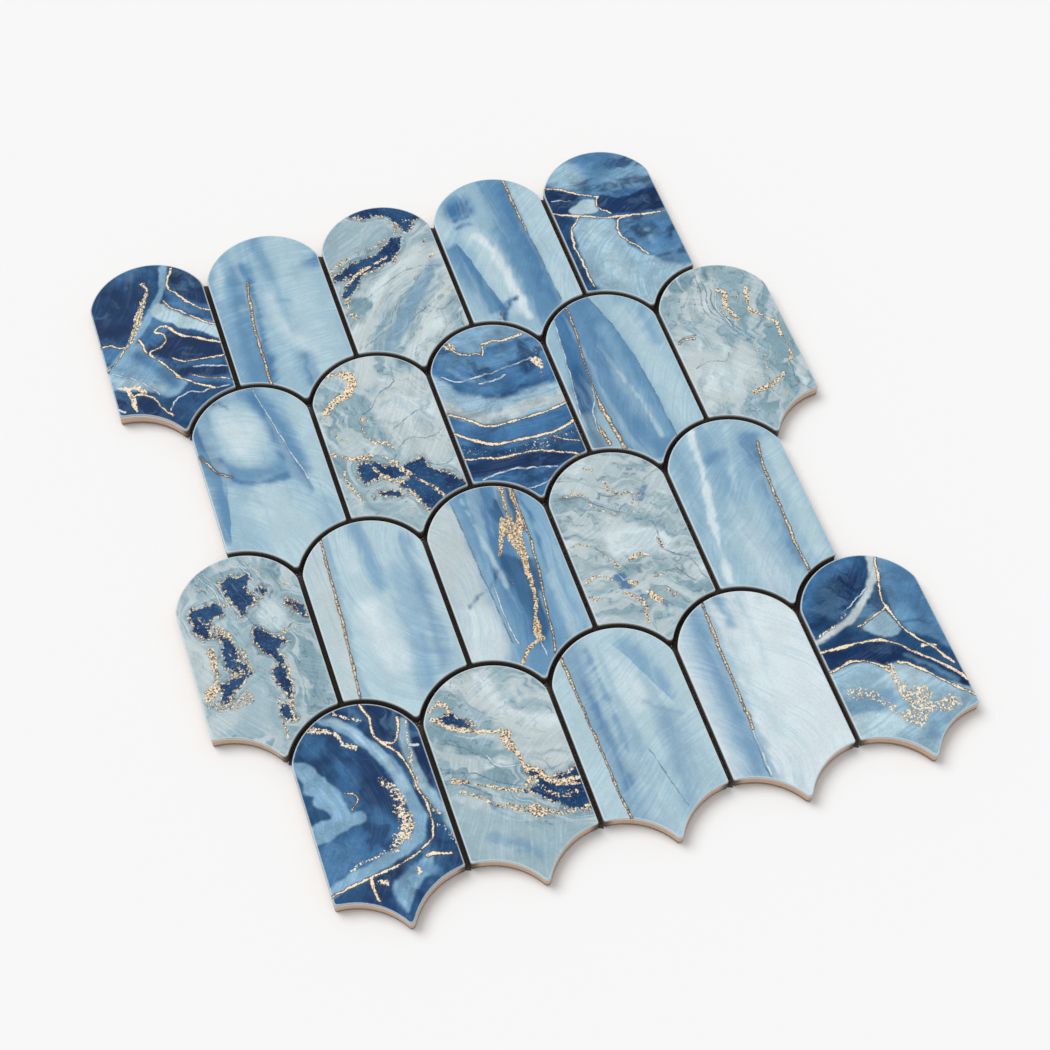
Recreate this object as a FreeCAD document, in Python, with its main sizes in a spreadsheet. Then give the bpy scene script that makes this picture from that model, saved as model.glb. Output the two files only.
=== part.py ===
import FreeCAD, Part
import math
import os
import Sketcher

# Fish scale mosaic sheet: twenty fired tiles, each with a rounded head, straight
# flanks and a pointed tail between two hollow bays, laid head to bay in four
# staggered rows and bonded by their backs to one glass fibre net.
# Millimetres. The sheet lies flat, heads towards +Y, centred over the origin,
# with the underside of the net at Z = 0.

doc = FreeCAD.newDocument("fish_scale_sheet")

# Sizes that may be changed, and the sizes that follow from them.
sheet = doc.addObject("Spreadsheet::Sheet", "sizes")
sizes = [
    ("tile_width", "48", "flank to flank"),
    ("tile_length", "88", "top of the head to the end of the tail"),
    ("tile_height", "5.6", "fired body and glaze"),
    ("shoulder_step", "1.5", "head radius less half the width"),
    ("shoulder_round", "8", "round between head and flank"),
    ("tail_width", "1.6", "blunt end of the tail"),
    ("corner_ease", "0.5", "flat across the foot and tail corners in plan"),
    ("edge_bevel", "0.5", "eased edge round the glazed face"),
    ("joint_width", "2", "open joint between neighbours"),
    ("net_height", "0.4", "thickness of the net"),
    ("strand_width", "1", "width of a net strand"),
    ("net_setback", "4", "front strand behind the feet of the front row"),
    ("column_pitch", "=tile_width + joint_width", "tile to tile along a row"),
    ("head_radius", "=tile_width / 2 + shoulder_step", ""),
    ("bay_radius", "=head_radius + joint_width", "bay that takes the head of the row in front"),
    ("tail_reach", "=tile_length - head_radius", "head centre to the end of the tail"),
    (
        "row_pitch",
        "=tail_reach + sqrt(bay_radius * bay_radius"
        " - (column_pitch - tail_width) * (column_pitch - tail_width) / 4)",
        "row to row",
    ),
    ("sheet_width", "=4.5 * column_pitch + tile_width", "over five tiles and the stagger"),
    ("sheet_length", "=3 * row_pitch + tile_length", "over four rows"),
    ("first_head_x", "=(tile_width - sheet_width) / 2", "head centre of the left tile"),
    ("first_head_y", "=tail_reach - sheet_length / 2", "head centre of the front row"),
    (
        "foot_reach",
        "=row_pitch - sqrt(bay_radius * bay_radius - joint_width * joint_width / 4)",
        "head centre to the feet, where flank and bay meet",
    ),
    ("net_step_x", "=column_pitch / 2", "strand to strand across, two under each tile"),
    ("net_step_y", "=row_pitch / 4", "strand to strand along, four to a row"),
    ("net_left", "=first_head_x - column_pitch / 4", "left strand"),
    ("net_front", "=first_head_y - foot_reach + net_setback", "front strand"),
]
for line, (alias, value, note) in enumerate(sizes, start=1):
    sheet.set("A%d" % line, alias)
    sheet.set("B%d" % line, value)
    sheet.set("C%d" % line, note)
    sheet.setAlias("B%d" % line, alias)
doc.recompute()


def size(alias):
    return float(sheet.get(alias))


def vector(x, y):
    return FreeCAD.Vector(x, y, 0)


def arc(centre, radius, start, end):
    return Part.ArcOfCircle(Part.Circle(centre, FreeCAD.Vector(0, 0, 1), radius), start, end)


# Outline of one tile about the centre of its head, tail towards -Y.
def draw_outline(sketch):
    half = size("tile_width") / 2
    head = size("head_radius")
    shoulder = size("shoulder_round")
    bay = size("bay_radius")
    reach = size("tail_reach")
    tail = size("tail_width") / 2
    bay_x = size("column_pitch") / 2
    bay_y = -size("row_pitch")
    round_x = half - shoulder
    round_y = math.sqrt((head - shoulder) ** 2 - round_x ** 2)
    foot_y = bay_y + math.sqrt(bay ** 2 - (bay_x - half) ** 2)
    turn = math.atan2(round_y, round_x)
    foot_turn = math.atan2(foot_y - bay_y, half - bay_x)
    tail_turn = math.atan2(-reach - bay_y, tail - bay_x)

    sketch.addGeometry([
        Part.LineSegment(vector(half, foot_y), vector(half, round_y)),
        arc(vector(round_x, round_y), shoulder, 0, turn),
        arc(vector(0, 0), head, turn, math.pi - turn),
        arc(vector(-round_x, round_y), shoulder, math.pi - turn, math.pi),
        Part.LineSegment(vector(-half, round_y), vector(-half, foot_y)),
        arc(vector(-bay_x, bay_y), bay, math.pi - tail_turn, math.pi - foot_turn),
        Part.LineSegment(vector(-tail, -reach), vector(tail, -reach)),
        arc(vector(bay_x, bay_y), bay, foot_turn, tail_turn),
    ], False)
    right, right_round, crown, left_round, left, left_bay, end, right_bay = range(8)
    rule = Sketcher.Constraint
    sketch.addConstraint([
        rule("Tangent", right, 2, right_round, 1),
        rule("Tangent", right_round, 2, crown, 1),
        rule("Tangent", crown, 2, left_round, 1),
        rule("Tangent", left_round, 2, left, 1),
        rule("Coincident", left, 2, left_bay, 2),
        rule("Coincident", left_bay, 1, end, 1),
        rule("Coincident", end, 2, right_bay, 2),
        rule("Coincident", right_bay, 1, right, 1),
        rule("Coincident", crown, 3, -1, 1),
        rule("Vertical", right),
        rule("Symmetric", right, 1, left, 2, -2),
        rule("Symmetric", end, 1, end, 2, -2),
        rule("Equal", right_round, left_round),
        rule("Equal", right_bay, left_bay),
    ])
    driven = [
        (rule("Radius", crown, head), "head_radius"),
        (rule("Radius", right_round, shoulder), "shoulder_round"),
        (rule("DistanceX", left, 2, right, 1, 2 * half), "tile_width"),
        (rule("DistanceX", end, 1, end, 2, 2 * tail), "tail_width"),
        (rule("DistanceY", end, 1, -1, 1, reach), "tail_reach"),
        (rule("Radius", right_bay, bay), "bay_radius"),
        (rule("DistanceX", -1, 1, right_bay, 3, bay_x), "column_pitch / 2"),
    ]
    for constraint, meaning in driven:
        number = sketch.addConstraint(constraint)
        sketch.setExpression("Constraints[%d]" % number, bound(meaning))


def bound(meaning):
    first, *rest = meaning.split(" ", 1)
    return " ".join(["<<sizes>>.%s" % first] + rest)


def origin_plane(body):
    return next(item for item in body.Origin.OriginFeatures if item.Name.startswith("XY_Plane"))


# Upright edges at the two feet and at the two corners of the tail.
def upright_corners(shape):
    half = size("tile_width") / 2
    tail = size("tail_width") / 2
    reach = size("tail_reach")
    names = []
    for number, edge in enumerate(shape.Edges, start=1):
        low, high = edge.BoundBox.ZMin, edge.BoundBox.ZMax
        if high - low < 0.5 * size("tile_height"):
            continue
        spot = edge.CenterOfMass
        foot = abs(abs(spot.x) - half) < 0.01 and spot.y < 0
        end = abs(abs(spot.x) - tail) < 0.01 and abs(spot.y + reach) < 0.01
        if foot or end:
            names.append("Edge%d" % number)
    return names


def top_face(shape):
    number = max(range(len(shape.Faces)), key=lambda i: shape.Faces[i].CenterOfMass.z)
    return "Face%d" % (number + 1)


# One fired tile: padded outline, blunted corners and the eased glazed edge.
def make_tile(label, column, row, stagger):
    body = doc.addObject("PartDesign::Body", label)
    body.Label = label
    outline = body.newObject("Sketcher::SketchObject", label + "_outline")
    outline.AttachmentSupport = [(origin_plane(body), "")]
    outline.MapMode = "FlatFace"
    draw_outline(outline)
    pad = body.newObject("PartDesign::Pad", label + "_pad")
    pad.Profile = outline
    pad.setExpression("Length", bound("tile_height"))
    outline.Visibility = False
    doc.recompute()
    blunt = body.newObject("PartDesign::Chamfer", label + "_corners")
    blunt.Base = (pad, upright_corners(pad.Shape))
    blunt.setExpression("Size", bound("corner_ease"))
    doc.recompute()
    bevel = body.newObject("PartDesign::Chamfer", label + "_bevel")
    bevel.Base = (blunt, [top_face(blunt.Shape)])
    bevel.setExpression("Size", bound("edge_bevel"))
    body.Tip = bevel
    place = "<<sizes>>.first_head_%s + %g * <<sizes>>.%s_pitch"
    body.setExpression("Placement.Base.x", place % ("x", column + stagger, "column"))
    body.setExpression("Placement.Base.y", place % ("y", row, "row"))
    body.setExpression("Placement.Base.z", bound("net_height"))
    return body


# One strand of the net, given by its first crossing, its count of steps and its way.
def make_strand(label, step_x, step_y, steps, way):
    strand = doc.addObject("Part::Box", label)
    across = "<<sizes>>.strand_width"
    along = "%d * <<sizes>>.net_step_%s + <<sizes>>.strand_width" % (steps, way)
    strand.setExpression("Length", along if way == "x" else across)
    strand.setExpression("Width", along if way == "y" else across)
    strand.setExpression("Height", "<<sizes>>.net_height")
    corner = "<<sizes>>.net_%s + %d * <<sizes>>.net_step_%s - <<sizes>>.strand_width / 2"
    strand.setExpression("Placement.Base.x", corner % ("left", step_x, "x"))
    strand.setExpression("Placement.Base.y", corner % ("front", step_y, "y"))
    return strand


# The net is cut back inside the tiles. It has one strand more on the side where a
# row stands out, and stops short of the heads behind and the tails in front.
def make_net(staggers):
    row_steps = 4
    band_steps = 2
    side_steps = 1
    core_steps = 8
    strands = []
    last = row_steps * (len(staggers) - 1) + band_steps
    for step in range(core_steps + 1):
        name = "net_lengthways_%d" % (step + 1)
        strands.append(make_strand(name, side_steps + step, 0, last, "y"))
    for row, stagger in enumerate(staggers):
        outer = 0 if stagger == 0 else side_steps + core_steps + 1
        for step in range(side_steps):
            name = "net_side_%d_%d" % (row + 1, step + 1)
            strands.append(make_strand(name, outer + step, row_steps * row, band_steps, "y"))
    for step in range(last + 1):
        row, rest = divmod(step, row_steps)
        name = "net_crossways_%d" % (step + 1)
        if rest > band_steps:
            strands.append(make_strand(name, side_steps, step, core_steps, "x"))
        else:
            start = 0 if staggers[row] == 0 else side_steps
            strands.append(make_strand(name, start, step, core_steps + side_steps, "x"))
    net = doc.addObject("Part::MultiFuse", "backing_net")
    net.Label = "backing_net"
    net.Shapes = strands
    net.Refine = True
    return net


# Rows from the front of the sheet to the back, every other one moved half a tile.
row_staggers = [0.5, 0, 0.5, 0]
nodes = []
for row, stagger in enumerate(row_staggers):
    for column in range(5):
        label = "scale_tile_%d_%d" % (len(row_staggers) - row, column + 1)
        nodes.append(make_tile(label, column, row, stagger))
nodes.append(make_net(row_staggers))
doc.recompute()

faulty = [item.Label for item in doc.Objects if {"Invalid", "Error"} & set(item.State)]
if faulty:
    raise RuntimeError("features that did not build: " + ", ".join(faulty))
os.makedirs("parts", exist_ok=True)
for node in nodes:
    shape = node.Shape
    if shape.isNull() or not shape.isValid() or len(shape.Solids) != 1:
        raise RuntimeError("not one sound solid: " + node.Label)
    shape.exportStep("parts/%s.step" % node.Label)
    box = shape.BoundBox
    print("%-16s %7.1f mm3  z %.2f to %.2f" % (node.Label, shape.Volume, box.ZMin, box.ZMax))
print("row pitch %.3f, sheet %.1f by %.2f" % (size("row_pitch"), size("sheet_width"), size("sheet_length")))
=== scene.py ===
"""Dresses the fish scale mosaic sheet: glazed tiles, each with its own marbling, and the net behind them."""

import math

import bpy
import numpy as np
from bpy.props import FloatProperty, FloatVectorProperty, IntProperty, PointerProperty
from bpy.types import Operator, Panel, PropertyGroup
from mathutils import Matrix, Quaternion, Vector
from mathutils.geometry import delaunay_2d_cdt


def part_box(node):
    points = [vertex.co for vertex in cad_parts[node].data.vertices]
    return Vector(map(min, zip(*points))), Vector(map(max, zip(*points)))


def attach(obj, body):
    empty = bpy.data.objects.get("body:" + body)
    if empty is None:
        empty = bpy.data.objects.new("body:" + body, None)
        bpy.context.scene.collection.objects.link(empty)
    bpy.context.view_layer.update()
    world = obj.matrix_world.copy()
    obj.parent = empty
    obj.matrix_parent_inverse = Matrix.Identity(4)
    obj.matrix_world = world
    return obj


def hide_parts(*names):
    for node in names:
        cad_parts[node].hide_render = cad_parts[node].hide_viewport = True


bl_info = {
    "name": "Fish Scale Mosaic Sheet",
    "version": (1, 0, 0),
    "blender": (4, 5, 0),
    "location": "View3D > Sidebar > Fish Scale",
    "description": "Glazed fish scale tiles with marbled glazes on their backing net",
    "category": "Object",
}

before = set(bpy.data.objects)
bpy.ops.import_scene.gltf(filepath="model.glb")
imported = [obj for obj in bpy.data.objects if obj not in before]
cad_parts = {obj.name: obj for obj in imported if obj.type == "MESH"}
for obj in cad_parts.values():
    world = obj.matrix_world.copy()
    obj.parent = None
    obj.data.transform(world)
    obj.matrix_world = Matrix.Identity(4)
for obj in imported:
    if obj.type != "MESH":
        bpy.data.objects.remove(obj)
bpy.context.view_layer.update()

MM = 0.001
ROWS = 4
SENSOR = 36.0  # Width of the camera's sensor in millimetres.
TILE_LOW, TILE_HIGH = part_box("scale_tile_4_1")
NET_LOW, NET_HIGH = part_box("backing_net")


def screen(red, green, blue):
    """A colour as it looks on a screen, from 0 to 255 a channel."""
    return (red / 255, green / 255, blue / 255)


def linear(colour):
    """The light of a screen colour."""
    values = np.asarray(colour, dtype=float)[:3]
    return np.where(values <= 0.04045, values / 12.92, ((values + 0.055) / 1.055) ** 2.4)


def length(name, description, default):
    """Setting for a length in metres."""
    return FloatProperty(
        name=name, description=description, default=default, min=0, precision=4, unit="LENGTH",
    )


def steps(name, description, default):
    """Setting for a count."""
    return IntProperty(name=name, description=description, default=default, min=1)


def tone(name, description, red, green, blue):
    """Setting for a colour, given as it looks on a screen."""
    return FloatVectorProperty(
        name=name, description=description, subtype="COLOR_GAMMA", size=3, min=0, max=1,
        default=screen(red, green, blue),
    )


class TileShape(PropertyGroup):
    """Sizes of one tile. What model.glb can tell is taken from it."""

    width: length("Width", "Flank to flank", TILE_HIGH.x - TILE_LOW.x)
    reach: length("Length", "Top of the head to the end of the tail", TILE_HIGH.y - TILE_LOW.y)
    base: length("Base", "Height of the tile's back over the floor", TILE_LOW.z)
    top: length("Top", "Height of the glazed face over the floor", TILE_HIGH.z)
    shoulder_step: length("Shoulder step", "Head radius less half the width", 0.0015)
    shoulder_round: length("Shoulder round", "Round between head and flank", 0.008)
    tail_width: length("Tail width", "Blunt end of the tail", 0.0016)
    corner_ease: length("Corner ease", "Flat across the foot and tail corners", 0.0005)
    joint_width: length("Joint", "Open joint between neighbours", 0.002)
    edge_round: length("Edge round", "Round of the glaze over the top edge", 0.0005)
    foot_ease: length("Back edge", "Small ease along the back of the tile", 0.0002)


class GlazeTones(PropertyGroup):
    """Colours of the glazes, the lustre, the fired body, the net and the painted shade in the joints."""

    deep: tone("Deep navy", "Darkest agate blue", 14, 46, 88)
    navy: tone("Navy", "Agate blue", 34, 78, 120)
    cobalt: tone("Cobalt", "Clear middle blue", 62, 112, 158)
    steel: tone("Steel", "Blue of the washes", 96, 141, 177)
    sky: tone("Sky", "Light blue of the washes", 128, 168, 196)
    ice: tone("Ice", "Thin wash over the white ground", 152, 186, 204)
    pale: tone("Pale", "Thinnest wash", 178, 204, 214)
    frost: tone("Frost", "White ground showing through", 212, 226, 231)
    teal: tone("Teal", "Green grey of the marble", 124, 156, 168)
    mist: tone("Mist", "Light green grey of the marble", 154, 180, 190)
    foam: tone("Foam", "White grey of the marble", 194, 206, 208)
    # Slate also paints the shade on the round of the glazed edge.
    slate: tone("Slate", "Thin dark lines of the marble", 84, 112, 132)
    lustre: tone("Lustre", "Gold of the veins", 198, 168, 128)
    spark: tone("Spark", "Brightest gold", 250, 236, 210)
    # Umber also paints the shade at the foot of the tiles' walls.
    umber: tone("Umber", "Burnt edge of the gold", 84, 70, 62)
    clay: tone("Clay", "Fired body", 218, 186, 160)
    engobe: tone("Engobe", "White coat under the glaze", 222, 222, 222)
    # Painted shade: the dark colour given to the walls in the joints and to the strips on the net between the
    # tiles, in place of the shade that falls into the joints.
    painted_shade: tone("Painted shade", "Shaded adhesive in the joints", 92, 82, 76)
    fibre: tone("Fibre", "Coated glass fibre of the net", 112, 100, 88)


class NetShape(PropertyGroup):
    """Sizes of the net behind the tiles."""

    strand: length("Strand", "Width of a strand", 0.0008)
    pitch_across: length("Pitch across", "Strand to strand across the sheet", 0.005)
    pitch_along: length("Pitch along", "Strand to strand along the sheet", 0.0047)
    rounding: steps("Strand sides", "Sides of a strand's section", 6)
    steps_across: steps("Steps across", "Half columns over the net's width", 10)
    steps_along: steps("Steps along", "Quarter rows over the net's length", 14)
    steps_a_row: steps("Steps a row", "Quarter rows from row to row", 4)
    steps_a_band: steps("Steps a band", "Quarter rows that stand out beside a row", 2)
    # The films are dark strips laid in the joints as painted shade.
    film_low: length("Film low", "Underside of the adhesive in the joints over the floor", 0.0001)
    film_high: length("Film high", "Top of the adhesive in the joints over the floor", 0.0004)
    film_step: length("Film step", "Drop from one film to the next, so that no two share a plane", 0.00002)


class StudioSetup(PropertyGroup):
    """Camera, lamp and floor."""

    camera_place: FloatVectorProperty(
        name="Camera", description="Where the camera stands", subtype="TRANSLATION", unit="LENGTH",
        default=(-0.13145, -0.3962, 0.66145),
    )
    camera_aim: FloatVectorProperty(
        name="Aim", description="Point that the camera looks at", subtype="TRANSLATION", unit="LENGTH",
        default=(0.0017, -0.0164, 0.006),
    )
    camera_roll: FloatProperty(
        name="Roll", description="Turn about the line of sight", subtype="ANGLE", default=math.radians(0.6),
    )
    lens: FloatProperty(name="Lens", description="Focal length in millimetres", default=67.66, min=10)
    daylight: FloatProperty(name="Daylight", description="Strength of the even light", default=0.585, min=0)
    window: FloatProperty(
        name="Window", description="Strength of the light from the window side", default=1.65, min=0,
    )
    window_spread: FloatProperty(
        name="Window spread", description="How wide the window light is", subtype="ANGLE",
        default=math.radians(39),
    )
    window_place: FloatVectorProperty(
        name="Window place", description="Where the window light comes from", subtype="TRANSLATION",
        unit="LENGTH", default=(-1.1, 1.5, 2.5),
    )
    floor: tone("Floor", "Pale studio floor", 247, 247, 247)
    floor_reach: length("Floor reach", "From the middle of the floor to its edge", 3.0)


def smoothstep(low, high, value):
    """0 below low, 1 above high, with a soft turn between. The two may also fall."""
    share = np.clip((value - low) / (high - low), 0, 1)
    return share * share * (3 - 2 * share)


def lattice_value(column, row, seed):
    """A fixed number from 0 to 1 for each crossing of a lattice, its digits stirred by large factors."""
    mixed = (column * 374761393 + row * 668265263 + seed * 362437) & 0xFFFFFFFF
    mixed = ((mixed ^ (mixed >> 13)) * 1274126177) & 0xFFFFFFFF
    return ((mixed ^ (mixed >> 16)) & 0xFFFF) / 0xFFFF


def cloud(x, y, seed, octaves=3):
    """Smooth noise round 0, from about -1 to 1."""
    total = np.zeros_like(x)
    for octave in range(octaves):
        column, row = np.floor(x).astype(np.int64), np.floor(y).astype(np.int64)
        across, along = x - column, y - row
        across, along = across * across * (3 - 2 * across), along * along * (3 - 2 * along)
        salt = seed * 17 + octave
        near, far = (
            lattice_value(column, line, salt) * (1 - across) + lattice_value(column + 1, line, salt) * across
            for line in (row, row + 1)
        )
        total += (2 * (near * (1 - along) + far * along) - 1) / 2 ** octave
        x, y = x * 2.03 + 7.1, y * 2.03 + 3.7
    return total


def flowing(points, step=0.8, closed=False):
    """A smooth line through the given points, in short steps."""
    knots = np.array(points, dtype=float)
    if len(knots) == 1:
        return np.vstack([knots, knots + 0.01])
    if closed:
        knots = np.vstack([knots[-1], knots, knots[:2]])
    else:
        knots = np.vstack([2 * knots[0] - knots[1], knots, 2 * knots[-1] - knots[-2]])
    line = []
    for before, start, end, after in zip(knots, knots[1:], knots[2:], knots[3:]):
        count = max(2, int(np.hypot(*(end - start)) / step))
        share = np.linspace(0, 1, count, endpoint=False)[:, None]
        line.append(0.5 * (
            2 * start + (end - before) * share
            + (2 * before - 5 * start + 4 * end - after) * share ** 2
            + (3 * start - before - 3 * end + after) * share ** 3
        ))
    if not closed:
        line.append(knots[-2][None, :])
    return np.vstack(line)


def distance_to(points, line, closed=False):
    """Distance of each point to a line, how far along that is, and the side: 1 left of its way, -1 right."""
    ends = np.roll(line, -1, axis=0) if closed else line[1:]
    starts = line if closed else line[:-1]
    runs = ends - starts
    sizes = np.maximum((runs ** 2).sum(1), 1e-9)
    before = np.concatenate([[0], np.cumsum(np.sqrt(sizes))[:-1]])
    best = np.full(len(points), 1e9)
    travelled = np.zeros(len(points))
    side = np.ones(len(points))
    for start, run, square, way in zip(starts, runs, sizes, before):
        offset = points - start
        share = np.clip(offset @ run / square, 0, 1)
        gap = ((offset - share[:, None] * run) ** 2).sum(1)
        closer = gap < best
        best[closer] = gap[closer]
        travelled[closer] = way + share[closer] * math.sqrt(square)
        side[closer] = np.sign(run[0] * offset[closer, 1] - run[1] * offset[closer, 0])
    return np.sqrt(best), travelled, side


def aside(line, amount):
    """The line moved to its left by the given amount."""
    way = np.gradient(line, axis=0)
    way /= np.maximum(np.hypot(way[:, 0], way[:, 1]), 1e-6)[:, None]
    return line + amount * np.stack([-way[:, 1], way[:, 0]], axis=1)


def inside(points, outline):
    """True for the points within a closed outline."""
    within = np.zeros(len(points), dtype=bool)
    for (x0, y0), (x1, y1) in zip(outline, np.roll(outline, -1, axis=0)):
        if y0 == y1:
            continue
        spans = (points[:, 1] < y0) != (points[:, 1] < y1)
        within ^= spans & (points[:, 0] < x0 + (points[:, 1] - y0) * (x1 - x0) / (y1 - y0))
    return within


class Glaze:
    """The marks of one tile's glaze, in the order they are laid, in millimetres about its head's centre."""

    FAR = 9.0  # Distance given to points with no mark near them.
    RIPPLES = ((5, 0.55), (1.4, 0.22))  # Size and share of the ripples in a wandering line.
    CREASE = 0.18  # Points of the mesh are laid this far to both sides of a fold.

    def __init__(self, kind, ground, seed, brush_centre, layers):
        self.kind = kind
        self.ground = ground
        self.seed = seed
        self.brush_centre = brush_centre
        self.layers = math.radians(layers)
        self.washes = []
        self.lines = []
        self.patches = []
        self.ridges = []

    def noise(self, x, y, size, salt, octaves=3):
        """Noise of a given size, fixed by the tile's seed."""
        return cloud(x / size, y / size, self.seed + salt, octaves)

    def ragged(self, line, amount):
        """The line, wandering a little as a poured glaze does."""
        x, y = line[:, 0], line[:, 1]
        sway = [
            sum(
                share * self.noise(x, y, size, salt + step)
                for step, (size, share) in enumerate(self.RIPPLES)
            ) for salt in (31, 41)
        ]
        return line + amount * np.stack(sway, axis=1)

    def sweep(self, tone_name, width, *path, soft=2.0, strength=1.0, wander=1.0, calm=0.0):
        """A brushed band of colour. Calm hides the layers under it."""
        line = self.ragged(flowing(path, 1.5), wander)
        self.washes.append((tone_name, line, False, width / 2, soft, strength, calm))

    def pool(self, tone_name, *outline, soft=1.5, strength=1.0, calm=0.0):
        """A pool of colour within an outline."""
        line = self.ragged(flowing(outline, 1.2, closed=True), 1)
        self.washes.append((tone_name, line, True, 0, soft, strength, calm))

    def fold(self, tone_name, reach, *path, side=1, strength=0.9):
        """Colour on one side of a line, with a crisp edge along it. Side 1 is left of the path's way."""
        line = self.ragged(flowing(path, 1.2), 0.6)
        self.ridges += [aside(line, self.CREASE), aside(line, -self.CREASE)]
        self.washes.append((tone_name, line, side, reach, None, strength, 0))

    def trace(self, kind, width, path, wander):
        """A fine line of the given kind."""
        line = self.ragged(flowing(path), wander)
        self.ridges.append(line)
        self.lines.append((kind, line, width / 2))

    def vein(self, width, *path, wander=1.0):
        """A gold vein with a burnt edge."""
        self.trace("vein", width, path, wander)

    def thread(self, width, *path, wander=1.0):
        """A white line."""
        self.trace("thread", width, path, wander)

    def scratch(self, width, *path, wander=1.0):
        """A dark line."""
        self.trace("scratch", width, path, wander)

    def flecks(self, width, density, *path, wander=1.0):
        """A cloud of gold flecks along a path. At a density of 1 they close up to a crust."""
        line = self.ragged(flowing(path, 1.2), wander)
        self.lines.append((density, line, width / 2))

    def patch(self, *outline, wander=1.0):
        """A crisp navy patch with a gold crust."""
        self.patches.append(self.ragged(flowing(outline, 0.8, closed=True), wander))

    def brushed(self, x, y):
        """Place across and along the brush strokes, which curve round the brush centre and sway a little."""
        across, along = x - self.brush_centre[0], y - self.brush_centre[1]
        away = np.hypot(across, along)
        turn = np.arctan2(along, across) - math.atan2(-self.brush_centre[1], -self.brush_centre[0])
        around = ((turn + math.pi) % (2 * math.pi) - math.pi) * np.median(away)
        return away + 4 * self.noise(x, y, 24, 3, 1) + 0.5 * self.noise(x, y, 7, 4, 1), around

    def layered(self, x, y):
        """Place across and along the layers of the marbling, folded as a stirred glaze is."""
        fold, curl = self.kind["fold"], self.kind["curl"]
        stirred_x = x + curl * self.noise(x, y, 11, 51)
        stirred_y = y + curl * self.noise(x, y, 11, 52)
        sway = 3 * self.noise(stirred_x, stirred_y, 15, 53)
        sway = sway + self.noise(stirred_x, stirred_y, 4.5, 54)
        across = y * math.cos(self.layers) - x * math.sin(self.layers)
        return across + fold * sway, x * math.cos(self.layers) + y * math.sin(self.layers)

    def near(self, points, line, margin):
        """Numbers of the points round a line's box."""
        within = np.all((points > line.min(0) - margin) & (points < line.max(0) + margin), axis=1)
        return np.flatnonzero(within)

    def washed(self, points, tones, uneven):
        """Colour of the washes at each point, and how much of the layers shows through them."""
        colour = np.tile(linear(getattr(tones, self.ground)), (len(points), 1))
        marbled = np.ones(len(points))
        for tone_name, line, closed, half, soft, strength, calm in self.washes:
            if soft is None:
                near = self.near(points, line, half + 1)
                gap, travelled, side = distance_to(points[near], line)
                beside = gap * side * closed
                share = smoothstep(-0.15, 0.15, beside) * smoothstep(half, half * 0.3, beside + uneven[near])
                share = share * smoothstep(0, 3, travelled) * smoothstep(0, 3, travelled.max() - travelled)
            else:
                near = self.near(points, line, half + soft + 4)
                gap, *_ = distance_to(points[near], line, closed)
                if closed:
                    gap = np.where(inside(points[near], line), -gap, gap)
                share = smoothstep(soft, -soft, gap - half + uneven[near])
            marbled[near] *= 1 - calm * share
            share = strength * share[:, None]
            colour[near] = colour[near] * (1 - share) + linear(getattr(tones, tone_name)) * share
        return colour, marbled

    def marked(self, points, blotches):
        """Distance of each point to the edge of each kind of mark, below 0 within it, and the gold flecks."""
        marks = {kind: np.full(len(points), self.FAR) for kind in ("vein", "thread", "scratch", "patch")}
        marks["flecks"] = np.zeros(len(points))
        for kind, line, half in self.lines:
            near = self.near(points, line, 6)
            gap, travelled, _ = distance_to(points[near], line)
            if not isinstance(kind, str):
                density = kind * smoothstep(1.3, 0.3, gap / half + 0.45 * blotches[near])
                marks["flecks"][near] = np.maximum(marks["flecks"][near], density)
                continue
            swell = 0.9 + 0.4 * cloud(travelled / 3.1, travelled * 0 + half, self.seed + 9, 2)
            marks[kind][near] = np.minimum(marks[kind][near], gap - half * self.kind["thin"] * swell)
        for line in self.patches:
            near = self.near(points, line, 8)
            gap, *_ = distance_to(points[near], line, True)
            gap = np.where(inside(points[near], line), -gap, gap)
            marks["patch"][near] = np.minimum(marks["patch"][near], gap)
        return marks

    def evaluate(self, points, tones):
        """Colour and mark distances at each point, by the name of each attribute."""
        x, y = points[:, 0], points[:, 1]
        away, around = self.brushed(x, y)
        layer, along = self.layered(x, y)
        streaks = cloud(away / 1.3, around / 16, self.seed + 5)
        streaks = streaks + 0.6 * cloud(away / 4, around / 30, self.seed + 6, 2)
        blotches = self.noise(x, y, 6, 7, 4)
        uneven = self.kind["feather"] * streaks + self.kind["mottle"] * blotches
        colour, marbled = self.washed(points, tones, uneven)
        marks = self.marked(points, blotches)
        ringed = smoothstep(5, 1, marks["patch"])
        layer = layer * (1 - ringed) + 2.5 * marks["patch"] * ringed
        return {
            "glaze_tone": np.column_stack([colour, marbled]),
            "glaze_lines": np.column_stack([marks["vein"], marks["thread"], marks["scratch"]]),
            "glaze_brush": np.column_stack([away, around, layer]),
            "glaze_patches": np.column_stack([marks["patch"], marks["flecks"], along]),
        }


# Sky wash: thin blue washes brushed head to tail over the white ground, with one fine gold line.

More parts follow.
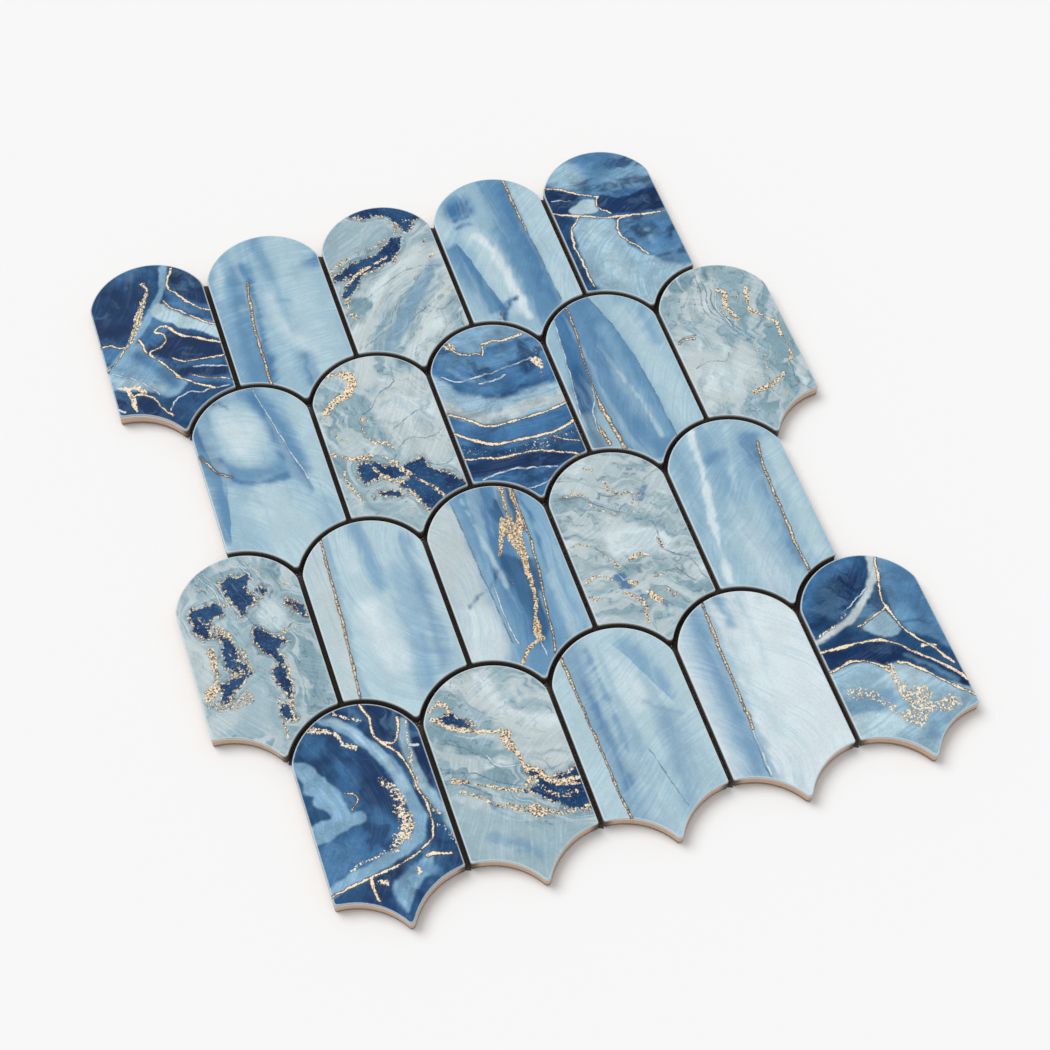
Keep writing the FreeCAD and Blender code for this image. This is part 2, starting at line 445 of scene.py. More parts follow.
def sky_1_2(glaze):
    glaze.sweep("sky", 12, (-18, 20), (-19, -10), (-19, -50), soft=4, strength=0.8)
    glaze.sweep("pale", 3, (-16, 24), (-18, 12), (-20, -2), strength=0.8)
    glaze.sweep("steel", 5, (-14, 4), (-16, -20), (-17, -50), soft=2.5, strength=0.9)
    glaze.sweep("steel", 7, (-9, 10), (-10, -10), (-11, -30), (-12, -52), soft=2.5)
    glaze.sweep("cobalt", 2, (-7.5, 3), (-8.5, -10), (-9.5, -30), (-10.5, -50), soft=1.5, strength=0.7)
    glaze.sweep("steel", 5, (0, 24), (2, 12), (3, 2), soft=3, strength=0.8)
    glaze.sweep("steel", 6, (26, 5), (17, 4), (12, 1), soft=2.5)
    glaze.sweep("cobalt", 1.5, (26, 8), (18, 5), (14, 3), soft=1, strength=0.7)
    glaze.sweep("steel", 2, (-1, -10), (4, -11), (7, -13), soft=1.5)
    glaze.sweep("pale", 14, (10, 20), (12, -10), (13, -50), soft=5, strength=0.7)
    glaze.sweep("frost", 5, (-1, -8), (0, -25), (8, -40), soft=3, strength=0.6)
    glaze.sweep("steel", 5, (5, -42), (5, -56), soft=2.5)
    glaze.vein(0.9, (-8, 2.5), (-9.5, -8), (-11, -20), (-11.5, -35), (-12, -54), wander=0.4)


def sky_1_4(glaze):
    glaze.sweep("steel", 13, (6, 22), (6, 0), (7, -30), (8, -55), soft=3)
    glaze.sweep("cobalt", 3.5, (9, 14), (8, -12), (9, -40), strength=0.5)
    glaze.sweep("pale", 11, (19, 16), (19, -10), (20, -50), strength=0.9)
    glaze.fold("cobalt", 6, (12.3, 22), (12, 5), (12.7, -8), (13.5, -25), (14.5, -50), side=-1, strength=0.6)
    glaze.sweep("pale", 7, (-21, 14), (-21, 2), soft=3, strength=0.9)
    glaze.pool("steel", (-17, 18), (-7, 19), (-6, 8), (-17, 8), soft=3)
    glaze.pool("cobalt", (-16, 15), (-8, 15.5), (-8, 9), (-16, 9.5), soft=1.6)
    glaze.sweep("cobalt", 1.2, (-15, 6.5), (-9, 7), soft=1, strength=0.8)
    glaze.sweep("cobalt", 1.6, (-16, 2), (-9, 2.5), soft=1, strength=0.8)
    glaze.sweep("ice", 4, (-2, 22), (-2, 0), strength=0.8)
    glaze.sweep("pale", 9, (-10, -3), (-7, -15), (-6, -30), (-5, -45), soft=2.5)
    glaze.sweep("frost", 3.2, (-9, -4), (-5, -13), (-3, -28), (-1, -52), soft=1.4, wander=0.4)
    glaze.fold("steel", 13, (-18, -4), (-14.5, -20), (-11, -36), (-9, -47), side=-1, strength=1)
    glaze.fold("cobalt", 4, (-18, -4), (-14.5, -20), (-11, -36), (-9, -47), side=-1, strength=0.5)
    glaze.pool("cobalt", (-12, -44), (-8, -42), (-3, -41), (-7, -46), (-11, -52), soft=1, strength=0.9)
    glaze.sweep("navy", 0.8, (-12, -50), (-9, -46), (-4, -42), soft=0.5, strength=0.8)
    glaze.vein(0.5, (-12, -47), (-11, -51))
    glaze.vein(0.9, (12, 22), (12, 5), (12.5, -8), wander=0.4)
    glaze.scratch(0.6, (12.5, -8), (13.5, -25), (14.5, -48), wander=0.4)


def sky_2_1(glaze):
    glaze.sweep("steel", 10, (-20, 18), (-21, 0), (-17, -12), soft=3)
    glaze.sweep("steel", 8, (-17, -12), (-7, -17), (5, -18), (12, -12), soft=3, strength=0.85)
    glaze.sweep("steel", 8, (4, 24), (9, 8), (12, -10), (15, -20), soft=3)
    glaze.sweep("steel", 5, (-12, 22), (0, 23), soft=3, strength=0.7)
    glaze.pool(
        "pale", (-13, 18), (-5, 18), (4, 10), (6, 2), (0, -9), (-8, -11), (-13, -4), (-14, 8), soft=2.5,
    )
    glaze.pool("frost", (-11, 13), (-5, 12), (0, 4), (-3, -5), (-9, -6), (-12, 3), soft=3, strength=0.6)
    glaze.sweep("pale", 20, (-3, -31), (2, -42), (2, -56), soft=4)
    glaze.sweep("pale", 7, (20, 14), (21, -8), (19, -32), soft=3, strength=0.9)
    glaze.fold("cobalt", 5, (5, 24), (9, 3), (12, -12), (15, -25), (17, -32), side=-1, strength=0.6)
    glaze.sweep("cobalt", 2, (-15, -14), (-10, -18), (-3, -20.5), (7, -21), soft=1.2, strength=0.8)
    glaze.sweep("navy", 2.4, (-22, 12), (-20, 2), (-17, -6), soft=1.5, strength=0.5)
    glaze.sweep("navy", 1.4, (-15, 22.5), (-10, 21.5), (-7, 18), soft=0.8, strength=0.8)
    glaze.fold("steel", 8, (-16, -15), (-18, -28), (-21, -46), side=-1, strength=1)
    glaze.thread(0.5, (5, 24), (9, 3), (12, -12), (15, -25), wander=0.5)
    glaze.scratch(1.8, (-23, -2), (-20, -7), (-17, -12), (-14, -15))
    glaze.vein(0.7, (-23, -2), (-20, -7), (-17, -12), (-14, -15))


def sky_2_4(glaze):
    edge = ((0, 25), (5, 8), (8, -8), (9.5, -25), (10.5, -52))
    gold = ((-10, 26), (-10.5, 10), (-12, 0), (-13, -15), (-13.5, -28))
    glaze.fold("steel", 26, (-2, 36), *edge, (11, -64), side=-1, strength=1)
    glaze.sweep("cobalt", 7, (-5, 23), (-5, 5), (-7, -20), (-6, -50), soft=3, strength=0.55)
    glaze.pool("ice", (-18, 30), (-30, 20), (-30, -35), (-23, -32), (-20, -10), (-18, 10), soft=0.6)
    glaze.fold("cobalt", 14, (-17, 25), (-18, 10), (-20, -10), (-23, -32), strength=1)
    glaze.sweep("navy", 7, (-17, -10), (-19, -30), (-20, -50), soft=2.5, strength=0.6)
    glaze.fold("steel", 9, (-9.6, 34), *gold, (-11, -50), (-10, -64))
    glaze.sweep("sky", 5, (1, 8), (3, -25), (7, -50), soft=2.5, strength=0.7)
    glaze.sweep("pale", 1.2, (-1, -15), (3, -32), (4.5, -50), soft=0.8, strength=0.8, wander=0.3)
    glaze.sweep("pale", 8, (12, 14), (16, -15), (17, -45), soft=3, strength=0.9)
    glaze.sweep("sky", 4, (19, 12), (20, -5), strength=0.9)
    glaze.thread(0.5, (-17, 25), (-18, 10), (-20, -10), (-23, -32), wander=0.5)
    glaze.scratch(0.5, *edge, wander=0.5)
    glaze.thread(0.5, (-13, -16), (-15, -25), (-18, -34), (-18, -44))
    glaze.vein(0.6, *gold, wander=0.4)
    glaze.vein(1.5, (-13.5, -27), (-12.5, -38), (-11, -54), wander=0.4)
    glaze.vein(1.2, (-17.5, -38), (-17, -42), (-16.5, -48))
    glaze.flecks(4, 0.4, (-20, -22), (-20, -40))


def sky_3_2(glaze):
    gold = ((-13, 24), (-14, 5), (-15, -15), (-16.5, -35), (-18, -52))
    glaze.fold("foam", 14, (-13, 34), *gold, (-19, -64), side=-1, strength=0.7)
    glaze.fold("steel", 4, (-13, 34), *gold, (-19, -64), strength=0.5)
    glaze.sweep("steel", 5, (17, 12), (17, -10), (17, -30), (16, -46), soft=3, strength=0.7)
    glaze.sweep("sky", 8, (11, 0), (11, -20), (8, -50), soft=3, strength=0.6)
    glaze.sweep("sky", 5, (1, 24), (2, 10), (4, -5), soft=2.5, strength=0.9)
    glaze.sweep("frost", 9, (-4, -14), (-1, -38), soft=4, strength=0.9)
    glaze.sweep("frost", 4, (-6, 18), (-5, 5), soft=3, strength=0.6)
    glaze.sweep("sky", 3, (12, -30), (9, -52), strength=0.7)
    glaze.vein(0.7, *gold, wander=0.3)


def sky_3_3(glaze):
    edge = ((-10.5, 22), (-9.5, 5), (-9, -10), (-8, -24), (-7, -45))
    glaze.sweep("foam", 18, (-18, 15), (-18, -15), (-18, -45), soft=3, strength=0.9)
    glaze.pool("frost", (-24, -26), (-12, -28), (-12, -48), (-24, -48), soft=4, strength=0.8)
    glaze.fold("steel", 30, (-11, 34), *edge, (-6.5, -64), strength=0.85)
    glaze.fold("sky", 5, (-11, 34), *edge, (-6.5, -64), strength=0.5)
    glaze.sweep("cobalt", 9, (3, 22), (3, 5), (2, -15), (4, -45), soft=3, strength=0.7)
    glaze.sweep("pale", 1.2, (-6, 22), (-4, 5), (-2, -12), (0, -34), soft=0.8, strength=0.8, wander=0.3)
    glaze.sweep("sky", 6, (20, 14), (21, -10), (20, -45), soft=2.5, strength=0.7)
    glaze.sweep("pale", 3, (17, -20), (16, -50), soft=1.5, strength=0.7)
    glaze.sweep("cobalt", 1.6, (17, 20), (17, 0), (16, -20), soft=1, strength=0.8)
    glaze.pool(
        "navy", (1, -7), (7, -10), (12, -12), (12, -24), (9, -30), (8, -42), (3, -48), (2, -36), (1, -22),
        soft=1, strength=0.85,
    )
    glaze.pool("navy", (4, 10), (9, 22), (15, 22), (14, 2), (9, 2), soft=1, strength=0.85)
    glaze.flecks(2.6, 1.2, (14, 23), (13.8, 14), (12.6, 4), (10, -4), wander=0.6)
    glaze.flecks(2.4, 1.1, (10.5, 23), (10, 14), (9, 6), (8.5, -2), wander=0.6)
    glaze.flecks(2.2, 1, (6.5, 8), (6.5, 0), (7.5, -6), wander=0.6)
    glaze.flecks(4.6, 1.2, (10, 2), (9.5, -5), (9, -11), wander=0.6)
    glaze.flecks(1.8, 1.2, (5, 6), (3.5, 0), (0.5, -7), wander=0.5)
    glaze.flecks(3, 1.15, (9, -10), (8.5, -17), (8, -24), wander=0.6)
    glaze.flecks(2.6, 1.1, (7.8, -25), (6.5, -32), (4.5, -38), (3, -46), wander=0.6)
    glaze.flecks(2.2, 1.2, (4.5, -46.5), (-0.5, -48), (-4, -51), (-7, -55), wander=0.5)
    glaze.flecks(4, 0.45, (3, -14), (1, -20))
    glaze.vein(0.6, (14.5, 20), (14.3, 8), (13.8, -8), (12, -22), (10, -35), (9, -45), (7, -54), wander=0.5)
    for shift in (0.0, 1.9):
        glaze.scratch(
            0.4, (11.6 - shift, 20), (11.3 - shift, 8), (10.4 - shift, 0), (9.6 - shift / 2, -8), wander=0.4,
        )
    glaze.thread(0.4, (3, -45), (4, -54))
    glaze.sweep("navy", 1.3, (-17, -25), (-11, -21), (-6, -18), (-3, -13), soft=0.9, strength=0.8)
    glaze.scratch(0.5, *edge, wander=0.4)
    glaze.thread(0.5, (-6, -20), (-6, -38), (-5, -46), wander=0.5)
    glaze.flecks(2, 0.5, (-6, -22), (-6, -38), (-5, -46))


def sky_3_5(glaze):
    gold = ((15, 10), (13, 0), (12, -15), (11.5, -30), (11, -40), (11.5, -54))
    glaze.sweep("steel", 7, (-5, 23), (-5, 4), (-9, -22), soft=3, strength=0.4)
    glaze.sweep("steel", 4, (-18, 16), (-19, -8), (-21, -22), soft=3, strength=0.35)
    glaze.pool("cobalt", (-9, 10), (0, 11), (3, 9), (-4, 6), (-9, 6), soft=2, strength=0.5)
    glaze.sweep("steel", 6, (10, 14), (8, 0), (7, -18), (7, -45), soft=3, strength=0.4)
    glaze.pool("cobalt", (8, 14), (17, 14), (15, 8), (11, -4), (8, 2), soft=2, strength=0.6)
    glaze.sweep("pale", 13, (-3, -18), (-4, -36), (0, -56), soft=5, strength=0.8)
    glaze.sweep("frost", 6, (-4, -28), (-3, -52), soft=4, strength=0.5)
    glaze.sweep("sky", 5, (1, 8), (0, -12), soft=3, strength=0.5)
    glaze.sweep("pale", 7, (20, 8), (19, -15), (19, -45), soft=3)
    glaze.sweep("pale", 2, (6, 22), (2, 6), (-2, -8), soft=1.2, strength=0.7)
    glaze.sweep("frost", 2.8, (-9, 24), (-11, 5), (-15, -15), (-18, -35), (-19, -47), soft=0.8, wander=0.3)
    glaze.fold("cobalt", 4, *gold, side=-1, strength=0.5)
    glaze.vein(0.9, *gold, wander=0.4)


def sky_4_3(glaze):
    gold = ((-17, 22), (-16.5, 5), (-16, -10), (-15.5, -25), (-15, -40), (-14, -53))
    glaze.fold("steel", 13, (-17.6, 34), *gold, (-13, -64), strength=0.65)
    glaze.sweep("cobalt", 2.4, (-12, 5), (-11, -12), (-11, -40), soft=1.6, strength=0.6)
    glaze.sweep("steel", 1.6, (-7, 18), (-6, -4), (-6, -26), soft=1, strength=0.6)
    glaze.pool("pale", (2, 19), (9, 6), (17, -13), (8, -16), (-3, -14), (-2, 5), soft=2)
    glaze.pool("frost", (0, 14), (6, 5), (9, -8), (1, -10), soft=3, strength=0.7)
    glaze.fold("sky", 9, (2, 20), (9, 6), (17, -13))
    glaze.sweep("steel", 8, (12, -17), (11, -30), (8, -52), soft=4, strength=0.5)
    glaze.sweep("steel", 2, (6, -8), (14, -15), (18, -17), soft=1.5, strength=0.5)
    glaze.sweep("ice", 5, (-2, -18), (1, -35), (4, -54), soft=2.5, strength=0.8)
    glaze.sweep("pale", 5, (21, 5), (20, -40), soft=2.5)
    glaze.scratch(0.3, (1, -26), (4, -40), (7, -52), wander=0.5)
    glaze.vein(0.7, *gold, wander=0.4)


def sky_4_4(glaze):
    gold = ((-8, 27), (-9, 5), (-9.5, -20), (-10, -30), (-10.5, -54))
    glaze.fold("sky", 17, *gold, (-11, -64), side=-1, strength=0.75)
    glaze.sweep("steel", 5, (-13, 20), (-13.5, -10), (-13.5, -28), (-14, -47), soft=3, strength=0.65)
    glaze.fold("sky", 4, *gold, (-11, -64), strength=0.6)
    glaze.sweep("sky", 4, (-2, 24), (-1, 12), strength=0.9)
    glaze.sweep("ice", 2.4, (5, 22), (6, 5), (5, -8), soft=1.5, strength=0.5)
    glaze.sweep("pale", 5, (-4, 5), (-4, -20), (0, -35), soft=3, strength=0.5)
    glaze.pool(
        "frost", (8, 14), (26, 8), (26, -44), (6, -58), (2, -30), (6, -8), soft=4, strength=0.9, calm=1,
    )
    glaze.vein(0.8, *gold[:3], (-10, -24), wander=0.4)
    glaze.vein(1.6, (-9.5, -25), (-9.5, -31))
    glaze.thread(0.8, (-10, -31), (-10.5, -51), wander=0.4)
    glaze.scratch(0.4, (-10.6, -32), (-11.1, -51), wander=0.4)


# Teal marble: brushed green grey with navy patches in a gold crust and thin gold veins.

def teal_1_3(glaze):
    glaze.pool("mist", (-26, 8), (-14, 21), (0, 20), (8, 14), (4, 6), (-8, 3), (-22, 0), soft=1, calm=0.7)
    glaze.sweep("foam", 13, (-26, -46), (-12, -24), (2, -13), (20, -6), soft=2.5, calm=0.5)
    glaze.sweep("frost", 4, (-26, -40), (-12, -24), (2, -10), (12, -8), strength=0.8)
    glaze.sweep("steel", 6, (20, -14), (6, -28), (-4, -40), (-14, -52), strength=0.55, calm=0.5)
    glaze.sweep("foam", 12, (26, -22), (14, -36), (2, -56), soft=3, calm=0.3)
    glaze.sweep("frost", 4, (22, -38), (6, -46), (-2, -56), strength=0.8)
    glaze.pool("teal", (-26, -22), (-14, -21), (-12, -27), (-18, -34), (-26, -34), soft=1)
    glaze.patch((-9, 26), (-4, 21.5), (5, 20), (9, 17), (13, 8), (17, 10), (21, 15), (12, 26), (2, 28))
    glaze.patch(
        (-26, -10), (-15, -2), (-5, -1), (3, 4), (9, 6.5), (10, 3), (3, -6), (-5, -8), (-12, -11), (-18, -18),
        (-21, -21), (-21, -16), (-14, -8), (-18, -9),
    )
    glaze.flecks(2.6, 0.75, (-26, -6), (-16, 1), (-5, 3), (4, 7), (9, 10), (8, 16))
    glaze.flecks(2.2, 0.95, (-19, -13), (-13, -8), (-5, -5), (2, -3))
    glaze.flecks(3, 0.8, (-20, -20), (-22, -25), (-19, -31))
    glaze.flecks(3, 0.7, (14, 14), (20, 12))
    glaze.flecks(2.4, 0.9, (20, 2), (19, -1))
    glaze.flecks(2.4, 0.9, (21, -8), (19, -9))
    glaze.scratch(0.3, (-14, -22), (-2, -16), (10, -12), (22, -14))
    glaze.scratch(0.3, (-20, -46), (-8, -38), (0, -26), (12, -20))
    glaze.scratch(0.3, (2, -38), (10, -34), (16, -36), (22, -33))


def teal_2_2(glaze):
    glaze.pool(
        "foam", (2, 6), (14, 12), (26, 6), (26, -32), (12, -30), (2, -26), (0, -10), soft=2.5, calm=0.5,
    )
    glaze.pool("frost", (8, 2), (20, -2), (20, -14), (8, -10), soft=4, strength=0.8)
    glaze.pool("foam", (-3, 24), (4, 24), (5, 14), (0, 9), (-4, 14), calm=0.6)
    glaze.sweep("teal", 9, (-18, 4), (-14, -10), (-4, -18), soft=3, strength=0.8)
    glaze.sweep("teal", 7, (16, -40), (24, -34), soft=2.5, strength=0.7)
    glaze.pool("mist", (-24, -44), (-8, -42), (4, -52), (0, -62), (-20, -50), soft=2, calm=0.5)
    glaze.flecks(4.2, 1.1, (-15, 21), (-9, 20), (-6, 15), (-9, 10), (-14, 8), (-20, 4))
    glaze.flecks(2.4, 0.6, (-22, 2), (-20, -6), (-17, -13))
    glaze.flecks(3, 0.8, (-9, -3), (-5, -5))
    glaze.flecks(1.8, 0.85, (-9, -8), (-6, -16), (0, -19), (1, -24))
    glaze.flecks(3, 0.9, (-23, -17), (-15, -22), (-7, -23), (-2, -27), (0, -30))
    glaze.flecks(2.4, 0.9, (-21, -26), (-20, -34), (-17, -43))
    glaze.patch((-15, -25), (-10, -25), (-4, -29), (4, -34), (-2, -37), (-6, -34), (-14, -35), (-15, -31))
    glaze.patch(
        (2, -32), (6, -30), (11, -30), (13, -36), (18, -40), (24, -47), (20, -50), (8, -55), (4, -47),
        (-2, -40), (2, -38),
    )
    glaze.patch((-12, -41), (-6, -39.5), (-2, -43), (-8, -42.5))
    glaze.flecks(3, 0.8, (-8, -29), (-6, -35), (0, -40), (4, -49))
    glaze.flecks(2.4, 0.85, (1, -33), (5, -37), (9, -42), (14, -49))
    glaze.flecks(2, 0.7, (-2, -47), (1, -52))
    glaze.scratch(0.35, (11, 16), (10, 9), (3, 5), (-3, -1), (-8, -2))
    glaze.scratch(0.3, (4, -13), (8, -11), (14, -8), (22, -7))
    glaze.scratch(0.3, (3, -22), (10, -19), (16, -21), (24, -18))
    glaze.scratch(0.35, (12, -33), (18, -35), (24, -33))


def teal_2_5(glaze):
    glaze.pool("foam", (-24, -14), (-8, -18), (4, -18), (5, -32), (-2, -40), (-24, -44), soft=2.5, calm=0.6)
    glaze.pool("frost", (-18, -26), (-6, -26), (0, -32), (-10, -38), (-22, -34), soft=4, strength=0.9)
    glaze.pool("foam", (-14, 16), (-4, 22), (6, 20), (0, 8), (-6, 0), (-14, 2), soft=3, strength=0.9)
    glaze.pool("teal", (-18, 21), (-8, 24), (-6, 19), (-13, 15), soft=1.2)
    glaze.sweep("teal", 7, (20, 8), (16, -10), (17, -32), (2, -50), soft=3, strength=0.8)
    glaze.sweep("steel", 3, (-20, -12), (-10, -15), (-5, -16), soft=1.5, strength=0.5)
    glaze.flecks(3, 0.9, (3, 11), (6, 9), (4, 3), (6, -5))
    glaze.flecks(1.4, 0.8, (10, 6), (6, 4), (1, 2), (2, -4))
    glaze.flecks(2.6, 0.9, (15, 9), (13, 2), (12, -2), (16, -7), (20, -11), (20, -20))
    glaze.flecks(2.2, 0.85, (20, -22), (20, -30), (17, -34))
    glaze.flecks(6, 0.55, (7, -22), (10, -26), (7, -33), (5, -37))
    glaze.flecks(2.2, 0.95, (14, -37), (8, -40), (2, -42), (-2, -42.5))
    glaze.flecks(1.6, 0.7, (10, -43), (10, -49))
    glaze.flecks(2, 0.8, (24, -31), (24, -36))
    glaze.scratch(0.7, (-22, -9), (-18, -7.5), (-14, -8))
    glaze.vein(0.8, (-22, -10), (-19, -8.8), (-15, -9.2))
    for shift in (0, 2.4, 4.6):
        glaze.scratch(
            0.35, (-3 + shift, 22), (-4 + shift, 12), (-6 + shift, 3), (-1 + shift, -8), (4 + shift, -18),
        )
    glaze.thread(0.5, (2, 10), (0, 2), (2, -8))
    glaze.scratch(0.3, (-20, -24), (-14, -22), (-8, -24), (-4, -21))
    glaze.scratch(0.4, (18, -34), (17, -42), (21, -48))


def teal_3_1(glaze):
    glaze.pool(
        "frost", (5, -1), (9, 3), (14, 2), (17, -3), (15, -9), (10, -11), (5, -8), soft=2.5, strength=0.8,
        calm=0.5,
    )
    glaze.pool("foam", (-26, -4), (-19, -6), (-15, -18), (-18, -30), (-26, -34), soft=2.5, calm=0.6)
    glaze.pool("mist", (-6, -28), (3, -28), (2, -52), (-14, -48), (-8, -36), soft=2.5, calm=0.8)
    glaze.sweep("teal", 10, (18, -18), (16, -32), (10, -48), soft=3, strength=0.8)
    glaze.patch(
        (-19, 6), (-14, 7), (-8, 8), (-7, 2), (-12, 0), (-13, -5), (-7, -9), (-6, -18), (-4, -25), (-10, -23),
        (-12, -15), (-11, -9), (-17, -5), (-19, 0),
    )
    glaze.patch((-13, -27), (-3, -25.5), (-8, -29), (-14, -34), (-17, -34))
    glaze.patch((-5, 15), (1, 16), (7, 14), (4, 10), (6, 4), (2, 1), (0, -1), (-3, 6), (-4, 10))
    glaze.patch((7, 9), (10, 9), (12, 6), (9, 4.5))
    glaze.patch(
        (1, -12), (4, -8), (8, -13), (13, -16), (8, -20), (10, -24), (9, -30), (10, -37), (7, -40), (6, -34),
        (5, -28), (7, -23), (3, -18),
    )
    glaze.patch((3, -43), (7, -43), (8, -49), (4, -49))
    glaze.patch((17, 0), (22, -3), (24, -10), (20, -7))
    glaze.flecks(3, 0.55, (-21, 18), (-10, 14), (-4, 6), (0, -4), (3, -10))
    glaze.flecks(3, 0.6, (8, 20), (14, 12), (20, 6))
    glaze.flecks(3, 0.8, (-13, -1), (-8, -8), (-4, -16), (-3, -24))
    glaze.flecks(4.4, 0.92, (-15, -12), (-15, -20), (-17, -26), (-21, -31))
    glaze.flecks(8, 0.72, (-21, -35), (-14, -37), (-8, -36))
    glaze.flecks(2.4, 0.7, (-16, 3), (-12, -8), (-9, -16), (-6, -24))
    glaze.flecks(2.2, 0.85, (11, -24), (10, -33), (8, -40), (7, -50))
    glaze.flecks(1.6, 0.8, (5, -36), (3, -44), (3, -56))
    glaze.flecks(2, 0.8, (18, 2), (20, -8), (12, -12), (19, -12))
    for shift in (0, 4, 8):
        glaze.scratch(0.4, (-16 + 3 * shift, 22 - shift / 2), (-11 + 2.6 * shift, 12), (-7 + 2.4 * shift, 3))
    glaze.scratch(0.5, (1, 0), (4, -8), (10, -12), (17, -10))
    for shift in (0, 2.4, 15, 17.5):
        glaze.thread(0.5, (-13 + shift, 23), (-8 + shift, 13), (-6.5 + shift, 3 + shift / 4))


def teal_3_4(glaze):
    glaze.pool(
        "foam", (-20, 18), (0, 24), (18, 18), (22, -10), (20, -40), (4, -44), (-20, -44), (-22, 0), soft=4,
        strength=0.6,
    )
    glaze.pool("frost", (-8, -12), (4, -10), (14, -16), (14, -26), (0, -24), (-8, -20), soft=2.5, calm=0.6)
    glaze.pool("foam", (-24, -16), (-14, -20), (-12, -30), (-24, -26), soft=2, calm=0.3)
    glaze.sweep("teal", 5, (-24, -7), (-14, -11), (-12, -16), soft=2.5, strength=0.8)
    glaze.sweep("teal", 6, (-4, -29), (4, -28), (9, -33), (18, -44), (24, -50), strength=0.8)
    glaze.sweep("teal", 4, (-14, -44), (0, -48), soft=3, strength=0.6)
    glaze.sweep("cobalt", 2.2, (-9, -31), (-7.5, -36), (-3, -42), soft=0.8, strength=0.9)
    glaze.flecks(2, 0.75, (-18, 10), (-13, 9.5), (-9, 7), (-8, 2), (-4, -2), (1, -4))
    glaze.flecks(1.8, 0.8, (0, 13), (0, 9), (4, 5), (10, 4))
    glaze.flecks(2, 0.8, (8, 0), (7, -5))
    glaze.flecks(2, 0.75, (-24, -13), (-18, -13), (-13, -17), (-9, -24), (-8, -28))
    glaze.flecks(2, 0.85, (-22, -29), (-16, -28), (-11, -31))
    glaze.flecks(2.2, 0.9, (-10, -38), (-6, -42), (-4, -45), (-5, -53))
    glaze.flecks(3, 0.95, (0, -41), (3, -45))
    glaze.flecks(2.2, 0.95, (-3, -25), (1, -24), (5, -25.5))
    glaze.flecks(2.4, 0.95, (-6, -34), (-4, -35))
    glaze.flecks(2, 0.8, (4, -35), (10, -35))
    glaze.flecks(2.4, 0.8, (7, -42), (13, -48))
    glaze.flecks(3, 0.7, (-22, -36), (-19, -38))
    glaze.flecks(1.8, 0.85, (11, -19), (12, -23))
    glaze.flecks(1.6, 0.8, (-5, 21), (-2, 19))
    glaze.sweep("cobalt", 1.6, (10, -1), (14, 4), soft=0.8, strength=0.7)
    glaze.flecks(2, 0.6, (9, -3), (11, 1), (14, 5))
    glaze.scratch(0.4, (-24, 10), (-12, 8), (-6, 2), (2, -4))
    glaze.scratch(0.35, (-18, 18), (-8, 14), (-2, 6), (8, 4))
    glaze.scratch(0.35, (-13, -16), (-9, -22), (-5, -29))
    glaze.scratch(0.35, (6, -8), (12, -12), (12, -24), (20, -32), (23, -42))
    glaze.scratch(0.3, (12, -30), (16, -38), (22, -46))


def teal_4_2(glaze):
    glaze.pool(
        "foam", (-6, 24), (6, 22), (6, 10), (12, 3), (26, -2), (26, -10), (8, -8), (-2, 6), soft=2.5,
        calm=0.6,
    )
    glaze.sweep("frost", 4, (2, 20), (5, 8), (14, 0), (26, -7), strength=0.9)
    glaze.sweep("foam", 8, (9, -15), (18, -18), (26, -21), calm=0.5)
    glaze.sweep("teal", 8, (14, 16), (24, 8), soft=3, strength=0.7)
    glaze.sweep("teal", 12, (-22, 2), (-12, -10), (0, -18), soft=4, strength=0.8)
    glaze.pool("mist", (-26, -26), (-12, -30), (4, -42), (20, -46), (4, -62), (-22, -50), soft=2, calm=0.8)
    glaze.sweep("steel", 4, (-14, -42), (-4, -47), (1, -54), strength=0.6)
    glaze.flecks(12, 0.5, (-16, 17), (-6, 21))
    glaze.flecks(3, 0.9, (-20, 13), (-16, 15), (-13, 12))
    glaze.patch((-18, 10), (-13, 10), (-11, 7), (-7, 4), (-8, 2), (-14, 5), (-17, 8), wander=0.5)
    glaze.patch(
        (6, -20), (10, -21), (14, -26), (26, -26), (26, -40), (18, -41), (12, -36), (8, -33), (6, -30),
        (2, -27), (8, -26),
    )
    glaze.flecks(2.6, 1, (-20, 10), (-14, 4), (-8, 1), (-2, -1), (2, -3), (5, -5))
    glaze.flecks(4.6, 0.95, (3, -6), (4, -10))
    glaze.flecks(2.4, 1, (5, -11), (6, -18), (10, -22), (14, -27), (20, -29), (26, -29))
    glaze.flecks(2.2, 0.9, (-20, -16), (-12, -20), (-4, -24), (2, -27), (6, -30))
    glaze.flecks(3, 0.8, (-18, -21), (-12, -26), (-6, -31), (2, -34))
    glaze.flecks(5, 0.9, (4, -35), (6, -37))
    glaze.flecks(2.4, 0.85, (8, -37), (13, -40), (19, -41), (26, -39))
    glaze.flecks(3, 0.7, (9, -29), (14, -33), (22, -34))
    glaze.flecks(2, 0.9, (4, -25), (9, -24), (14, -28), (24, -32))
    glaze.thread(0.6, (-6, -10), (-4, -15), (0, -17), (4, -17))
    glaze.scratch(0.4, (-22, -12), (-12, -16), (-4, -22), (2, -25))
    glaze.scratch(0.3, (-22, 0), (-14, -4), (-7, -10), (-4, -16))
    glaze.scratch(0.4, (-18, -18), (-10, -24), (-2, -30))


# Navy agate: poured bands of blue with foam lines, gold veins and fleck clouds.

